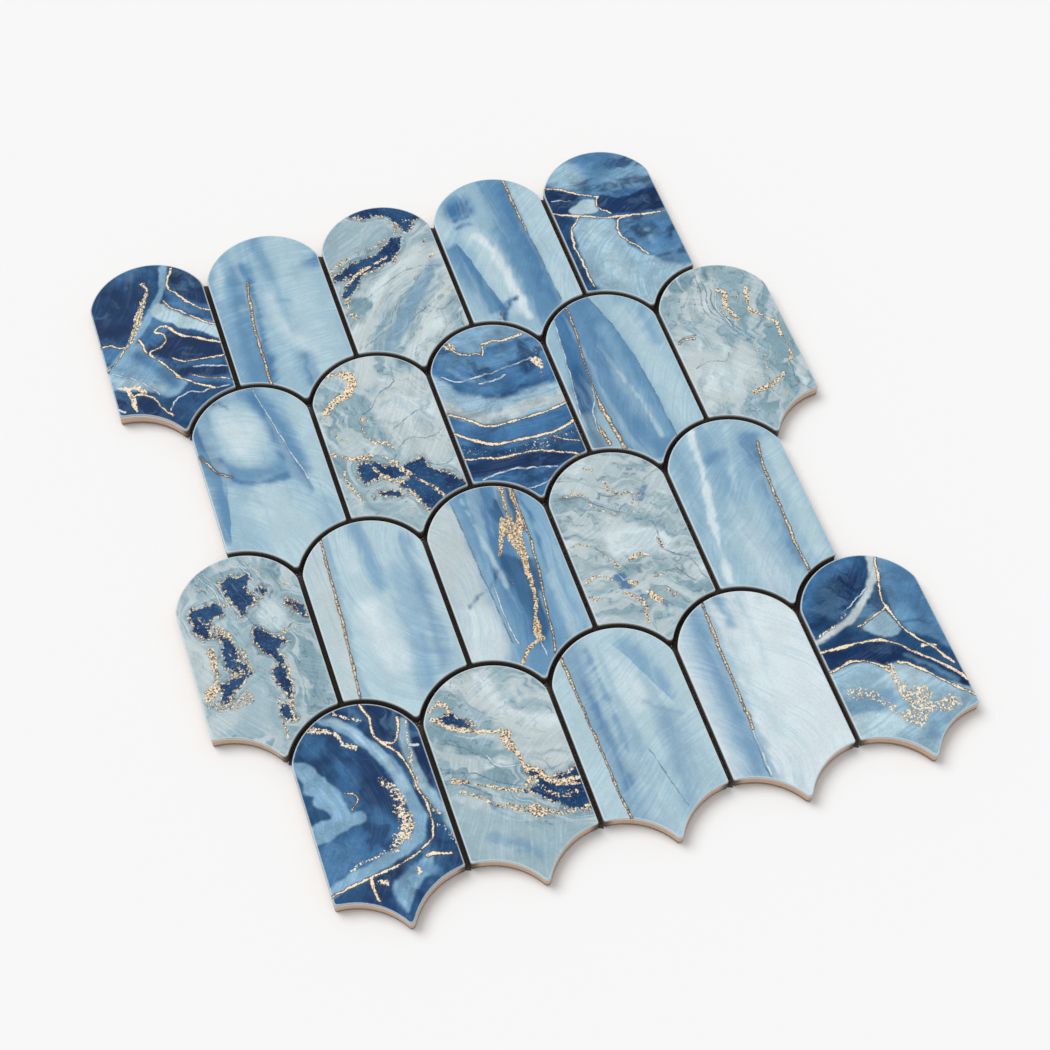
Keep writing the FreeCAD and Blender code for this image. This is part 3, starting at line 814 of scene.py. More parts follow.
def navy_1_1(glaze):
    glaze.pool("deep", (-26, 12), (-10, 24), (4, 20), (-4, 6), (-12, -8), (-26, -10), soft=3, strength=0.7)
    glaze.sweep("cobalt", 5, (-14, 20), (-4, 24), (4, 22), soft=3, strength=0.5)
    glaze.pool("cobalt", (-26, -13), (-13, -15), (-24, -24), (-28, -24), soft=1, strength=0.9)
    glaze.pool(
        "sky", (-12, -14), (-7, -16), (-5, -22), (2, -34), (6, -40), (-2, -44), (-12, -38), (-26, -34),
        (-26, -25), soft=1, calm=0.7,
    )
    glaze.sweep("pale", 3, (-24, -28), (-14, -34), (-4, -40), strength=0.8)
    glaze.sweep("cobalt", 5, (-10, -20), (-4, -30), (1, -38), strength=0.8)
    glaze.sweep("deep", 6, (-26, -2), (-14, -6), (-6, -2), soft=3, strength=0.8)
    glaze.pool("cobalt", (-6, -10), (0, -3), (6, -8), (2, -14), (-4, -20), (-8, -14), soft=1)
    glaze.sweep("sky", 3, (10, 22), (8, 14), (5, 7), (0, 0), (-6, -8), (-12, -14), soft=0.6, calm=1)
    glaze.pool("deep", (14, 22), (28, 8), (28, -6), (18, 0), (12, 8), soft=0.8)
    glaze.pool(
        "cobalt", (7, 8), (10, 10), (16, 1), (28, -6), (28, -14), (18, -8), (10, -1), soft=0.8, strength=0.8,
    )
    glaze.pool(
        "pale", (0, 0), (5, 3), (13, -6), (28, -16), (28, -24), (16, -16), (8, -9), (3, -6), soft=0.6, calm=1,
    )
    glaze.sweep("navy", 1.6, (7, 1), (13, -6), (24, -14), soft=1, strength=0.7)
    glaze.pool(
        "deep", (4, -11), (10, -15), (28, -26), (28, -32), (14, -30), (4, -27), (-3, -20), (2, -16), soft=0.6,
    )
    glaze.sweep("cobalt", 4, (4, -29), (14, -32), (26, -33), soft=1, strength=0.7)
    glaze.sweep("deep", 4.4, (6, -34), (16, -37), (26, -40), soft=1)
    glaze.sweep("cobalt", 3, (8, -38), (18, -42), (26, -45), soft=1)
    glaze.pool("deep", (-26, -38), (-18, -42), (-18, -48), (-28, -46), soft=0.8)
    glaze.pool("deep", (-15, -42), (-9, -44), (-8, -51), (-15, -50), soft=0.6)
    glaze.thread(1, (10, -33), (14, -33), (18, -35), (24, -37))
    glaze.thread(0.6, (-22, -26), (-12, -34), (-6, -42))
    glaze.thread(0.8, (-4, -51), (0, -46), (5, -45), (12, -46), (22, -46))
    glaze.thread(1.2, (-24, -44), (-21, -46))
    glaze.vein(0.5, (8, -36), (15, -40), (24, -44))
    glaze.flecks(3.2, 0.9, (0, 15), (1, 11), (-2, 6), (-5, 0), (-8, -7), (-11, -12), wander=0.7)
    glaze.vein(0.9, (0, 15), (1, 11), (-2, 6), (-5, 0), (-8, -7), (-11, -12))
    glaze.vein(0.9, (-24, -12), (-20, -11.5), (-17, -14), (-14, -15), (-12, -13))
    glaze.vein(0.6, (-12, -14), (-20, -21), (-24, -25))
    glaze.vein(1.2, (13, 20), (10, 12), (12, 6), (16, 0), (20, -4), (24, -7))
    glaze.vein(0.9, (6, 4), (9, -1), (14, -6), (19, -11), (24, -15))
    glaze.vein(
        1.4, (24, -24), (15, -19.5), (10, -16), (7, -13), (5, -9.5), (3, -8.5), (0, -9.5), (-1, -11),
        (2, -13), (2.5, -16), (0, -18.5), (-5, -20.5), (-4, -24), (0, -29), (2.5, -34), (5, -38), (9, -41),
        (16, -46), wander=0.6,
    )
    glaze.vein(1.1, (-8, -12.5), (-7, -17), (-6, -20))
    glaze.vein(0.8, (3, -26), (8, -29), (15, -29.5), (24, -31))
    glaze.flecks(2, 1, (-24, -33), (-18, -36), (-15, -35), (-12, -39))
    glaze.flecks(2, 1.1, (-18, -36), (-17, -42), (-17, -48))
    glaze.vein(1.1, (-17, -40), (-13, -40), (-9, -43), (-8, -46), (-6, -51), (-4, -54))


def navy_1_5(glaze):
    glaze.pool("steel", (-24, 16), (0, 28), (24, 20), (28, 2), (10, 0), (-2, 1), (-12, 6))
    glaze.pool("ice", (-22, 18), (-8, 24), (-4, 12), (-12, 8), (-20, 12), soft=3, calm=0.5)
    glaze.pool("cobalt", (-6, 26), (10, 24), (12, 14), (0, 16), soft=4, strength=0.7)
    glaze.pool("sky", (6, 10), (24, 12), (24, 2), (6, 3), soft=3, strength=0.8)
    glaze.pool("deep", (-28, 12), (-14, 7), (-9, 3), (-11, -1), (-16, -5), (-28, -2), soft=0.7)
    glaze.pool("cobalt", (-11, 2), (-6, 4), (-2, 0), (-6, -1), soft=1)
    glaze.pool("pale", (-16, -4), (-10, 0), (-5, -1), (-3, -4), (-6, -8), (-14, -7), soft=0.6, calm=1)
    glaze.pool("deep", (-1, 1), (8, -3), (28, -3), (28, -15), (12, -13), (2, -11), (-4, -5), soft=0.7)
    glaze.pool(
        "ice", (-18, -12), (-6, -11), (0, -14), (0, -22), (2, -28), (8, -38), (28, -44), (4, -64), (-18, -50),
        soft=1, calm=0.7,
    )
    glaze.sweep("pale", 8, (-10, -16), (-8, -32), (-4, -48), soft=4, strength=0.7)
    glaze.pool("steel", (6, -16), (28, -18), (28, -44), (14, -44), (9, -36), (4, -27), (2, -20), soft=1.2)
    glaze.pool("cobalt", (8, -18), (26, -19), (26, -34), (12, -36), (5, -27), soft=3, strength=0.7)
    glaze.pool("sky", (8, -22), (14, -24), (12, -32), (9, -28), soft=2, strength=0.6)
    glaze.pool("navy", (-28, -6), (-16, -9), (-20, -16), (-21.5, -30), (-20, -50), (-29, -50), soft=0.7)
    glaze.flecks(3, 0.35, (-7, 22), (-7, 14), (0, 10), (6, 10))
    glaze.vein(1.3, (-23, 12), (-15, 8), (-8, 3), (-2, 0))
    glaze.vein(
        1.5, (-24, -3), (-15, -7), (-8, -10), (-3, -12), (2, -13), (8, -14), (15, -15.5), (23, -16.5),
        wander=0.7,
    )
    glaze.vein(1.3, (-14, -8), (-18, -13), (-20, -18), (-21, -25), (-20.5, -35), (-20, -46))
    glaze.vein(1.3, (8, -14.5), (3, -14.5), (1, -17), (0, -22), (2, -27), (5, -31), (8, -37), wander=0.6)
    glaze.vein(0.7, (-2, 0), (-4, -5), (0, -10))
    glaze.thread(0.8, (-22, 4), (-14, 2))


def navy_2_3(glaze):
    glaze.pool(
        "sky", (-14, 28), (20, 28), (26, 14), (12, 15), (2, 14), (-4, 12), (-10, 16), soft=1.2, calm=0.5,
    )
    glaze.sweep("navy", 2.5, (-20, 4), (-12, -5), (0, -8), (20, -9), strength=0.4)
    glaze.sweep("steel", 7, (-16, 12), (-4, 6), (12, 8), (24, 6), soft=3, strength=0.8)
    glaze.pool(
        "ice", (-28, 8), (-20, 3), (-14, -6), (-2, -11), (26, -12), (26, -22), (0, -24), (-10, -23),
        (-28, -10), calm=0.5,
    )
    glaze.sweep("foam", 5, (-24, -9), (-12, -19), (2, -20), (26, -19), strength=0.9)
    glaze.sweep("cobalt", 8, (-28, -17), (-14, -27), (0, -29), (12, -29), (26, -27), soft=0.8, calm=0.5)
    glaze.pool(
        "navy", (-28, -26), (-12, -35), (14, -37), (28, -34), (28, -52), (10, -44), (-8, -42), (-28, -38),
        soft=0.8,
    )
    glaze.flecks(8, 0.5, (-24, -31), (-12, -37), (4, -38), (24, -38))
    glaze.sweep("deep", 7, (-28, -42), (-8, -44), (6, -46), (22, -52), soft=0.7, calm=0.6)
    glaze.sweep("cobalt", 6, (-20, -51), (0, -53), (14, -53), soft=0.8)
    glaze.sweep("sky", 1.6, (-16, 8), (-12, 2), (-4, -3), soft=1, strength=0.6)
    glaze.thread(1, (-20, 5), (-14, 1), (-5, 1), (5, 1.5), (17, 3))
    glaze.thread(1.2, (-7, -3), (0, -3), (5, -2))
    glaze.thread(1.1, (-20, -48), (-12, -46.5), (0, -48), (10, -50.5))
    glaze.thread(0.8, (-8, -56), (0, -57), (8, -54), (15, -50))
    glaze.vein(1, (-14, 20), (-12, 17), (-9, 13), (-3, 12), (-1, 11), (0, 15))
    glaze.vein(1.6, (0, 16), (5, 16.5), (10, 15.5), (17, 16))
    glaze.flecks(3, 0.9, (-13, 19), (-11, 17))
    glaze.vein(1.5, (-24, -13), (-17, -18), (-10, -24), (0, -24.5), (12, -24.5), (25, -22.5), wander=0.5)
    glaze.vein(1.8, (-25, -22), (-17, -29), (-10, -33), (0, -34), (15, -34.5), (25, -31.5), wander=0.5)
    glaze.vein(1.3, (-24, -36), (-10, -40), (5, -41), (15, -45), (22, -50))
    glaze.vein(0.7, (14, -36), (18, -40), (24, -43))
    glaze.flecks(3, 0.95, (18, 2), (20, -2))
    glaze.flecks(3, 0.45, (20, 8), (19, -10))


def navy_4_1(glaze):
    glaze.sweep("cobalt", 16, (-28, -32), (-12, -31), (0, -26), soft=4, strength=0.9)
    glaze.sweep("cobalt", 8, (-16, 16), (-8, 6), (-6, -6), soft=4, strength=0.6)
    glaze.pool("deep", (0, 8), (6, 0), (10, -10), (10, -26), (2, -18), (-2, -4), soft=3, strength=0.8)
    glaze.pool(
        "sky", (-28, 10), (-21, 9), (-17, 5), (-14, 0), (-11, -6), (-9, -12), (-8, -16), (-5, -17), (-4, -21),
        (-12, -22), (-28, -25), (-28, -17), (-16, -16), (-17, -13), (-20, -10), (-19, -5), (-23, -3),
        (-22, 0), soft=0.6, calm=0.8,
    )
    glaze.sweep(
        "sky", 4.6, (-8, 23), (-3, 18), (2, 12), (6, 5), (10, -3), (13, -15), (14, -25), (12, -32), (6, -35),
        (-8, -39), (-26, -43), soft=0.7, calm=1,
    )
    glaze.sweep("pale", 1.6, (-6, 22), (-1, 17), (4, 9), (9, -1), (13, -13), soft=1, strength=0.7)
    glaze.pool("deep", (9, 24), (20, 16), (18, 8), (12, 8), (10, 14), soft=0.8)
    glaze.sweep("ice", 4, (19, 12), (18, 0), (19, -15), (23, -25), (26, -36), soft=1, calm=0.6)
    glaze.pool("deep", (21, 6), (28, 2), (28, -20), (22, -14), (20, -4), soft=0.7)
    glaze.sweep("deep", 3, (-10, 25), (0, 22), (4, 16), soft=1, strength=0.7)
    glaze.pool("deep", (-10, -43), (2, -42), (-3, -50), (-8, -50), soft=0.8, strength=0.9)
    glaze.pool(
        "sky", (-3, -50), (0, -45), (8, -42), (14, -40), (12, -46), (5, -51), (0, -58), soft=1, calm=0.5,
    )
    glaze.sweep("steel", 3, (4, -42), (14, -46), soft=1.5, strength=0.7)
    glaze.flecks(3, 0.9, (-16, 21), (-9, 18), (-6, 15), (-4, 11), (0, 8))
    glaze.flecks(2, 0.7, (-4, 24), (4, 18))
    glaze.vein(
        1.1, (6, 25), (8, 18), (7.5, 12), (10, 6), (14, 1), (16, -6), (17, -15), (18, -22), (17, -33),
        (12, -37), (3, -40), (-10, -42), (-24, -44), wander=0.7,
    )
    glaze.vein(1.3, (18, 15), (17, 9), (14, 6), (10, 7), (8, 11))
    glaze.vein(1.3, (-9, -42), (-8.5, -51))
    glaze.vein(1.5, (12, -40), (21, -42))
    glaze.vein(0.6, (-9, -8), (-6, -9), (-4.5, -11), (-5.5, -13), (-7.5, -15))
    glaze.flecks(4.4, 0.76, (4, -7), (7, -10), (9, -14), (10, -18))
    glaze.flecks(7.5, 0.82, (8, -22), (9, -27), (8, -30))
    glaze.flecks(6, 0.72, (6, -31), (2, -34))
    glaze.flecks(2, 0.7, (-2, -34), (-14, -37))
    glaze.flecks(5, 0.8, (-6, -45), (-4, -46))
    glaze.flecks(2.4, 0.95, (8, -44), (8.5, -45.5))
    glaze.flecks(2.4, 0.7, (20, 12), (19, 2), (17, -10), (19, -22), (23, -28))
    glaze.flecks(2, 0.6, (18, -30), (22, -33), (24, -40))
    glaze.thread(1.2, (19, 3), (22, 2))


def navy_4_5(glaze):
    glaze.pool("cobalt", (-26, 10), (-12, 24), (4, 24), (-4, 18), (-14, 10), soft=3, strength=0.9)
    glaze.pool("deep", (-14, 14), (-2, 20), (4, 14), (-4, 6), (-18, 2), soft=4)
    glaze.pool(
        "steel", (13, 24), (28, 12), (28, -26), (20, -20), (12, -12), (9, -3), (10, 8), soft=1.2, calm=0.5,
    )
    glaze.pool("cobalt", (16, 16), (26, 10), (26, -20), (18, -14), (14, 0), soft=4, strength=0.55)
    glaze.sweep("sky", 4, (14, 20), (20, 19), soft=3, strength=0.5)
    glaze.pool("steel", (8, 12), (11, 12), (8, 0), (2, -3), (-4, 0), (2, 4), soft=0.8)
    glaze.sweep("foam", 3.2, (12, 24), (9, 15), (3, 7), (-4, 1.5), (-12, -2.5), (-26, -7), soft=0.6, calm=1)
    glaze.pool("navy", (-28, -8), (-14, -4), (-6, -3), (-4, -9), (-14, -10), (-28, -10), soft=0.8)
    glaze.pool("ice", (-5, -5), (6, -1), (9, -10), (3, -12), soft=0.7, calm=1)
    glaze.pool(
        "ice", (-28, -20), (-15, -18.5), (-5, -21), (-3, -24), (2, -23), (8, -27), (15, -35), (26, -47),
        (4, -66), (-28, -50), soft=0.8, calm=0.7,
    )
    glaze.pool("ice", (-26, -21), (-8, -22), (4, -26), (12, -36), (-2, -38), (-26, -33), soft=2, calm=0.6)
    glaze.pool("pale", (-4, -25), (3, -25), (10, -33), (2, -36), (-5, -33), soft=2, strength=0.7, calm=0.6)
    glaze.pool("steel", (-28, -30), (-6, -33), (-8, -40), (-28, -38), soft=2, strength=0.6)
    glaze.pool("pale", (-26, -38), (-16, -39), (-6, -44), (-8, -50), (-28, -52), calm=0.6)
    glaze.pool("ice", (8, -36), (20, -42), (14, -50), (2, -52), soft=2, strength=0.7)
    glaze.sweep("steel", 5, (0, -40), (8, -47), (2, -54), soft=3, strength=0.5)
    glaze.pool(
        "deep", (-28, -11), (-10, -12), (0, -13), (8, -19), (16, -27), (26, -42), (20, -38), (9, -26),
        (2, -22), (-4, -22), (-8, -19), (-28, -18), soft=0.6, calm=0.5,
    )
    glaze.sweep("steel", 2, (6, -21), (14, -29), (20, -37), soft=1, strength=0.7)
    glaze.flecks(2.2, 0.7, (-24, -4), (-14, -1), (-8, 2))
    glaze.vein(
        1.3, (13, 22), (10, 13), (8, 6), (7.5, 2), (9, -4), (10, -10), (13, -16), (18, -22), (22, -30),
        wander=0.6,
    )
    glaze.vein(0.8, (7, 0), (0, -3), (-6, -4))
    glaze.vein(
        1.5, (-24, -10), (-10, -11), (-2, -12), (4, -15), (10, -21), (16, -27), (21, -33), (24, -38),
        wander=0.5,
    )
    glaze.vein(1.1, (-24, -19), (-15, -17.5), (-8, -19.5), (-5, -22), (-2, -24))
    glaze.vein(1.3, (2, -23), (8, -27), (15, -35), (24, -45), wander=0.5)
    glaze.flecks(2.4, 1, (14, -20), (19, -21))
    glaze.flecks(7, 0.68, (-20, -29), (-13, -32), (-8, -39))
    glaze.flecks(5, 0.78, (-2, -24), (-2, -34), (0, -40))
    glaze.flecks(7, 0.74, (1, -34), (5, -40), (-3, -46))
    glaze.flecks(9, 0.76, (-3, -46), (6, -45), (14, -44))
    glaze.thread(0.6, (-8, 3), (4, 10))


# Each tile's ground, seed, centre of its curved brush strokes, way of its layers in degrees, and marks.

SKY_TILES = {
    "scale_tile_1_2": ("ice", 12, (8, -82), 88, sky_1_2),
    "scale_tile_1_4": ("ice", 14, (70, -60), 94, sky_1_4),
    "scale_tile_2_1": ("ice", 21, (-38, -68), 96, sky_2_1),
    "scale_tile_2_4": ("ice", 24, (75, -60), 95, sky_2_4),
    "scale_tile_3_2": ("pale", 32, (48, 8), 92, sky_3_2),
    "scale_tile_3_3": ("sky", 33, (-65, -20), 88, sky_3_3),
    "scale_tile_3_5": ("ice", 35, (58, -85), 96, sky_3_5),
    "scale_tile_4_3": ("pale", 43, (45, -90), 90, sky_4_3),
    "scale_tile_4_4": ("frost", 44, (-40, -50), 92, sky_4_4),
}
TEAL_TILES = {
    "scale_tile_1_3": ("mist", 13, (40, -70), 40, teal_1_3),
    "scale_tile_2_2": ("mist", 22, (-60, 40), 110, teal_2_2),
    "scale_tile_2_5": ("mist", 25, (-50, -70), 70, teal_2_5),
    "scale_tile_3_1": ("mist", 31, (60, 30), 105, teal_3_1),
    "scale_tile_3_4": ("mist", 34, (-40, 60), -15, teal_3_4),
    "scale_tile_4_2": ("mist", 42, (50, -60), -30, teal_4_2),
}
NAVY_TILES = {
    "scale_tile_1_1": ("navy", 11, (-60, 30), -40, navy_1_1),
    "scale_tile_1_5": ("cobalt", 15, (30, -60), 10, navy_1_5),
    "scale_tile_2_3": ("cobalt", 23, (0, 80), 0, navy_2_3),
    "scale_tile_4_1": ("navy", 41, (-50, -10), 100, navy_4_1),
    "scale_tile_4_5": ("navy", 45, (-30, 50), -10, navy_4_5),
}


COARSE = 3  # Every third point of an outline is enough to measure distances to it.
EVEN_RIM = 0.3  # Band between the round of the edge and the grid of the face, in millimetres.
BACK_GRID = 9  # Spacing of the grid of the back, in millimetres.
ROUND_STEPS = 5  # Rings of points over the rounded edge.
WALL = 1  # Points nearer to the outline than this may face a joint, in millimetres.
SHARP = math.radians(40)


def arc(centre, radius, start, end, spacing):
    """Points along an arc, without its last one."""
    count = max(2, math.ceil(radius * abs(end - start) / spacing))
    turns = np.linspace(start, end, count, endpoint=False)
    return np.stack([centre[0] + radius * np.cos(turns), centre[1] + radius * np.sin(turns)], axis=1)


def run(start, end, spacing):
    """Points along a straight edge, without its last one."""
    start, end = np.array(start), np.array(end)
    count = max(1, math.ceil(np.hypot(*(end - start)) / spacing))
    return start + np.linspace(0, 1, count, endpoint=False)[:, None] * (end - start)


def tile_outline(shape, spacing=0.8):
    """Outline of a tile in millimetres about its head's centre, counter-clockwise from the right foot."""
    half = shape.width / MM / 2
    head = half + shape.shoulder_step / MM
    shoulder = shape.shoulder_round / MM
    joint = shape.joint_width / MM
    bay = head + joint
    tail_y = head - shape.reach / MM
    tail = shape.tail_width / MM / 2
    ease = shape.corner_ease / MM
    bay_x = half + joint / 2
    bay_y = tail_y - math.sqrt(bay ** 2 - (bay_x - tail) ** 2)
    round_x = half - shoulder
    round_y = math.sqrt((head - shoulder) ** 2 - round_x ** 2)
    foot_y = bay_y + math.sqrt(bay ** 2 - (bay_x - half) ** 2)
    turn = math.atan2(round_y, round_x)
    foot_turn = math.atan2(foot_y - bay_y, bay_x - half) - ease / bay
    tail_turn = math.atan2(tail_y - bay_y, bay_x - tail) + ease / bay
    left_foot = (-bay_x + bay * math.cos(foot_turn), bay_y + bay * math.sin(foot_turn))
    left_tail = (-bay_x + bay * math.cos(tail_turn), bay_y + bay * math.sin(tail_turn))
    return np.vstack([
        run((half, foot_y + ease), (half, round_y), spacing),
        arc((round_x, round_y), shoulder, 0, turn, spacing),
        arc((0, 0), head, turn, math.pi - turn, spacing),
        arc((-round_x, round_y), shoulder, math.pi - turn, math.pi, spacing),
        run((-half, round_y), (-half, foot_y + ease), spacing),
        run((-half, foot_y + ease), left_foot, spacing),
        arc((-bay_x, bay_y), bay, foot_turn, tail_turn, spacing),
        run(left_tail, (-tail + ease, tail_y), spacing),
        run((-tail + ease, tail_y), (tail - ease, tail_y), spacing),
        run((tail - ease, tail_y), (-left_tail[0], left_tail[1]), spacing),
        arc((bay_x, bay_y), bay, math.pi - tail_turn, math.pi - foot_turn, spacing),
        run((-left_foot[0], left_foot[1]), (half, foot_y + ease), spacing),
    ])


def inset(outline, amount):
    """The outline moved inwards by the given amount."""
    ahead = np.roll(outline, -1, axis=0) - outline
    ahead /= np.hypot(ahead[:, 0], ahead[:, 1])[:, None]
    behind = np.roll(ahead, 1, axis=0)
    inward = np.stack([-ahead[:, 1] - behind[:, 1], ahead[:, 0] + behind[:, 0]], axis=1)
    return outline + inward * (2 * amount / (inward ** 2).sum(1))[:, None]


def face_grid(border, ridges, spacing):
    """Triangles of the glazed face: an even grid within the border, with points along each fine line."""
    low, high = border.min(0), border.max(0)
    rows = np.arange(low[1], high[1], spacing * math.sqrt(0.75))
    columns = np.arange(low[0], high[0], spacing)
    grid = np.array([(x + spacing / 2 * (number % 2), y) for number, y in enumerate(rows) for x in columns])
    clear = spacing / 2
    fenced = inset(border, clear)
    grid = grid[inside(grid, fenced)]
    points = [Vector(point) for point in border] + [Vector(point) for point in grid]
    edges = []
    for ridge in ridges:
        kept = inside(ridge, fenced)
        first = len(points)
        points += [Vector(point) if keep else Vector(border[0]) for point, keep in zip(ridge, kept)]
        edges += [(first + i, first + i + 1) for i in range(len(ridge) - 1) if kept[i] and kept[i + 1]]
    ring = list(range(len(border)))
    found = delaunay_2d_cdt(points, edges, [ring], 1, 1e-4)
    places = np.array([tuple(point) for point in found[0]])
    faces = [tuple(face) for face in found[2]]
    origin = {}
    for number, sources in enumerate(found[3]):
        for source in sources:
            origin.setdefault(source, number)
    return places, faces, [origin[i] for i in ring]


def ring_faces(outer, inner):
    """Quads between two rings of vertex numbers, facing out and up."""
    after = range(1, len(outer) + 1)
    return [(outer[i], outer[j % len(outer)], inner[j % len(outer)], inner[i]) for i, j in enumerate(after)]


def joint_shade(node, places, open_from=3.2, full_at=1.3):
    """1 where a place faces a neighbour over a joint, 0 where it is open: the share of painted shade on the
    walls and where the dark strips lie. Places are in millimetres.

    The last two are distances to the neighbour in joint widths, where the shade starts and where it is full.
    """
    low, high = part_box(node)
    shade = np.zeros(len(places))
    joint = bpy.context.scene.fish_scale_tile.joint_width
    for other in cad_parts:
        if other == node or not other.startswith("scale_tile"):
            continue
        near_low, near_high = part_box(other)
        apart = [max(near_low[axis] - high[axis], low[axis] - near_high[axis]) for axis in (0, 1)]
        if max(apart) > 2 * joint:
            continue
        gap, *_ = distance_to(places, placed_outline(other)[::COARSE], True)
        shade = np.maximum(shade, smoothstep(open_from * joint / MM, full_at * joint / MM, gap))
    return shade


def head_centre(node):
    """Centre of a tile's head on the sheet, in millimetres."""
    shape = bpy.context.scene.fish_scale_tile
    low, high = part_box(node)
    return np.array([(low.x + high.x) / 2, high.y - shape.width / 2 - shape.shoulder_step]) / MM


def placed_outline(node):
    """Outline of a tile on the sheet, in millimetres."""
    return tile_outline(bpy.context.scene.fish_scale_tile) + head_centre(node)


def tile_shell(shape, outline, ridges, grid):
    """Closed shell of a tile: places in plan and depths under the glazed face in millimetres, and faces."""
    edge_round = shape.edge_round / MM
    height = (shape.top - shape.base) / MM
    foot = shape.foot_ease / MM
    places, faces, ring = face_grid(inset(outline, edge_round + EVEN_RIM), ridges, grid)
    flat, depths, count = [places], [np.zeros(len(places))], len(places)
    turns = np.linspace(0, math.pi / 2, ROUND_STEPS)
    profile = [(edge_round * (1 - math.sin(turn)), edge_round * (1 - math.cos(turn))) for turn in turns]
    for inward, drop in profile + [(0, height - foot), (foot, height)]:
        flat.append(inset(outline, inward))
        depths.append(np.full(len(outline), drop))
        outer = list(range(count, count + len(outline)))
        faces += ring_faces(outer, ring)
        ring = outer
        count += len(outline)
    back, back_faces, back_ring = face_grid(inset(outline, foot), [], BACK_GRID)
    moved = {number: count + number for number in range(len(back))}
    moved.update(zip(back_ring, ring))
    faces += [tuple(moved[number] for number in reversed(face)) for face in back_faces]
    flat.append(back)
    depths.append(np.full(len(back), height))
    used = sorted({number for face in faces for number in face})
    renumber = {old: new for new, old in enumerate(used)}
    faces = [tuple(renumber[number] for number in face) for face in faces]
    return np.vstack(flat)[used], np.concatenate(depths)[used], faces


def fired_tile(node, glaze, material, grid):
    """One glazed tile in place of its node, with its marbling as attributes of the mesh."""
    shape = bpy.context.scene.fish_scale_tile
    outline = tile_outline(shape)
    flat, depths, faces = tile_shell(shape, outline, glaze.ridges, grid)
    placed = flat + head_centre(node)
    vertices = np.column_stack([placed * MM, shape.top - depths * MM])
    mesh = bpy.data.meshes.new(node + "_glazed")
    mesh.from_pydata([tuple(vertex) for vertex in vertices], [], faces)
    mesh.validate()
    rim, *_ = distance_to(flat, outline[::COARSE], True)
    # How much each wall point faces a joint: the share of painted shade that the material puts there.
    shade = np.zeros(len(flat))
    walls = np.flatnonzero(rim < WALL)
    shade[walls] = joint_shade(node, placed[walls])
    attributes = glaze.evaluate(flat, bpy.context.scene.fish_scale_tones)
    attributes["glaze_edges"] = np.column_stack([rim, shade, np.full(len(flat), float(glaze.seed))])
    for name, values in attributes.items():
        kind, field = ("FLOAT_COLOR", "color") if values.shape[1] == 4 else ("FLOAT_VECTOR", "vector")
        mesh.attributes.new(name, kind, "POINT").data.foreach_set(field, values.ravel())
    mesh.shade_smooth()
    mesh.set_sharp_from_angle(angle=SHARP)
    mesh.materials.append(material)
    tile = bpy.data.objects.new(node + "_glazed", mesh)
    bpy.context.scene.collection.objects.link(tile)
    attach(tile, "root")
    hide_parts(node)
    return tile


def feed(tree, socket, value):
    """Links a socket to another one, or sets its own value."""
    if isinstance(value, bpy.types.NodeSocket):
        tree.links.new(value, socket)
    elif socket.type == "RGBA":
        socket.default_value = (*value, 1)
    else:
        socket.default_value = value


def added(tree, kind, inputs, **settings):
    """Outputs of a new node with the given inputs, by name or number, and settings."""
    node = tree.nodes.new(kind)
    for name, value in settings.items():
        setattr(node, name, value)
    for key, value in inputs.items():
        feed(tree, node.inputs[key], value)
    return node.outputs


class Board:
    """A material's node tree, with short calls for the nodes that the finishes use."""

    def __init__(self, name):
        self.material = bpy.data.materials.new(name)
        self.material.use_nodes = True
        self.tree = self.material.node_tree
        self.tree.nodes.clear()
        self.shader = self.tree.nodes.new("ShaderNodeBsdfPrincipled")
        added(self.tree, "ShaderNodeOutputMaterial", {"Surface": self.shader.outputs["BSDF"]})

    def attribute(self, name, output="Vector"):
        return added(self.tree, "ShaderNodeAttribute", {}, attribute_name=name)[output]

    def place(self):
        """Place on the sheet in millimetres."""
        return self.scaled(added(self.tree, "ShaderNodeTexCoord", {})["Object"], 1 / MM)

    def parts(self, vector):
        return added(self.tree, "ShaderNodeSeparateXYZ", {0: vector})

    def joined(self, *values):
        return added(self.tree, "ShaderNodeCombineXYZ", dict(enumerate(values)))[0]

    def scaled(self, vector, scale):
        return added(self.tree, "ShaderNodeVectorMath", {0: vector, "Scale": scale}, operation="SCALE")[0]

    def math(self, operation, *values):
        return added(self.tree, "ShaderNodeMath", dict(enumerate(values)), operation=operation)[0]

    def times(self, first, second):
        return self.math("MULTIPLY", first, second)

    def between(self, value, low, high, start=0.0, end=1.0):
        """The value's place between low and high, with a soft turn, as a number from start to end."""
        inputs = {"Value": value, "From Min": low, "From Max": high, "To Min": start, "To Max": end}
        return added(self.tree, "ShaderNodeMapRange", inputs, interpolation_type="SMOOTHSTEP")["Result"]

    def noise(self, vector, scale, detail=2.0, roughness=0.5):
        inputs = {"Vector": vector, "Scale": scale, "Detail": detail, "Roughness": roughness}
        return added(self.tree, "ShaderNodeTexNoise", inputs)["Fac"]

    def mix(self, share, first, second):
        return added(self.tree, "ShaderNodeMix", {0: share, 6: first, 7: second}, data_type="RGBA")[2]

    def tone(self, name):
        return linear(getattr(bpy.context.scene.fish_scale_tones, name))

    def coat(self, colour, share, name):
        """The colour under a share of a named tone."""
        return self.mix(share, colour, self.tone(name))

    def finish(self, colour, roughness, specular, height=None, distance=0.0):
        """The material with its colour, roughness and specular, and with a height as its relief."""
        if height is not None:
            bump = added(self.tree, "ShaderNodeBump", {"Height": height, "Distance": distance})
            feed(self.tree, self.shader.inputs["Normal"], bump["Normal"])
        feed(self.tree, self.shader.inputs["Base Color"], colour)
        feed(self.tree, self.shader.inputs["Roughness"], roughness)
        self.shader.inputs["Specular IOR Level"].default_value = specular
        return self.material


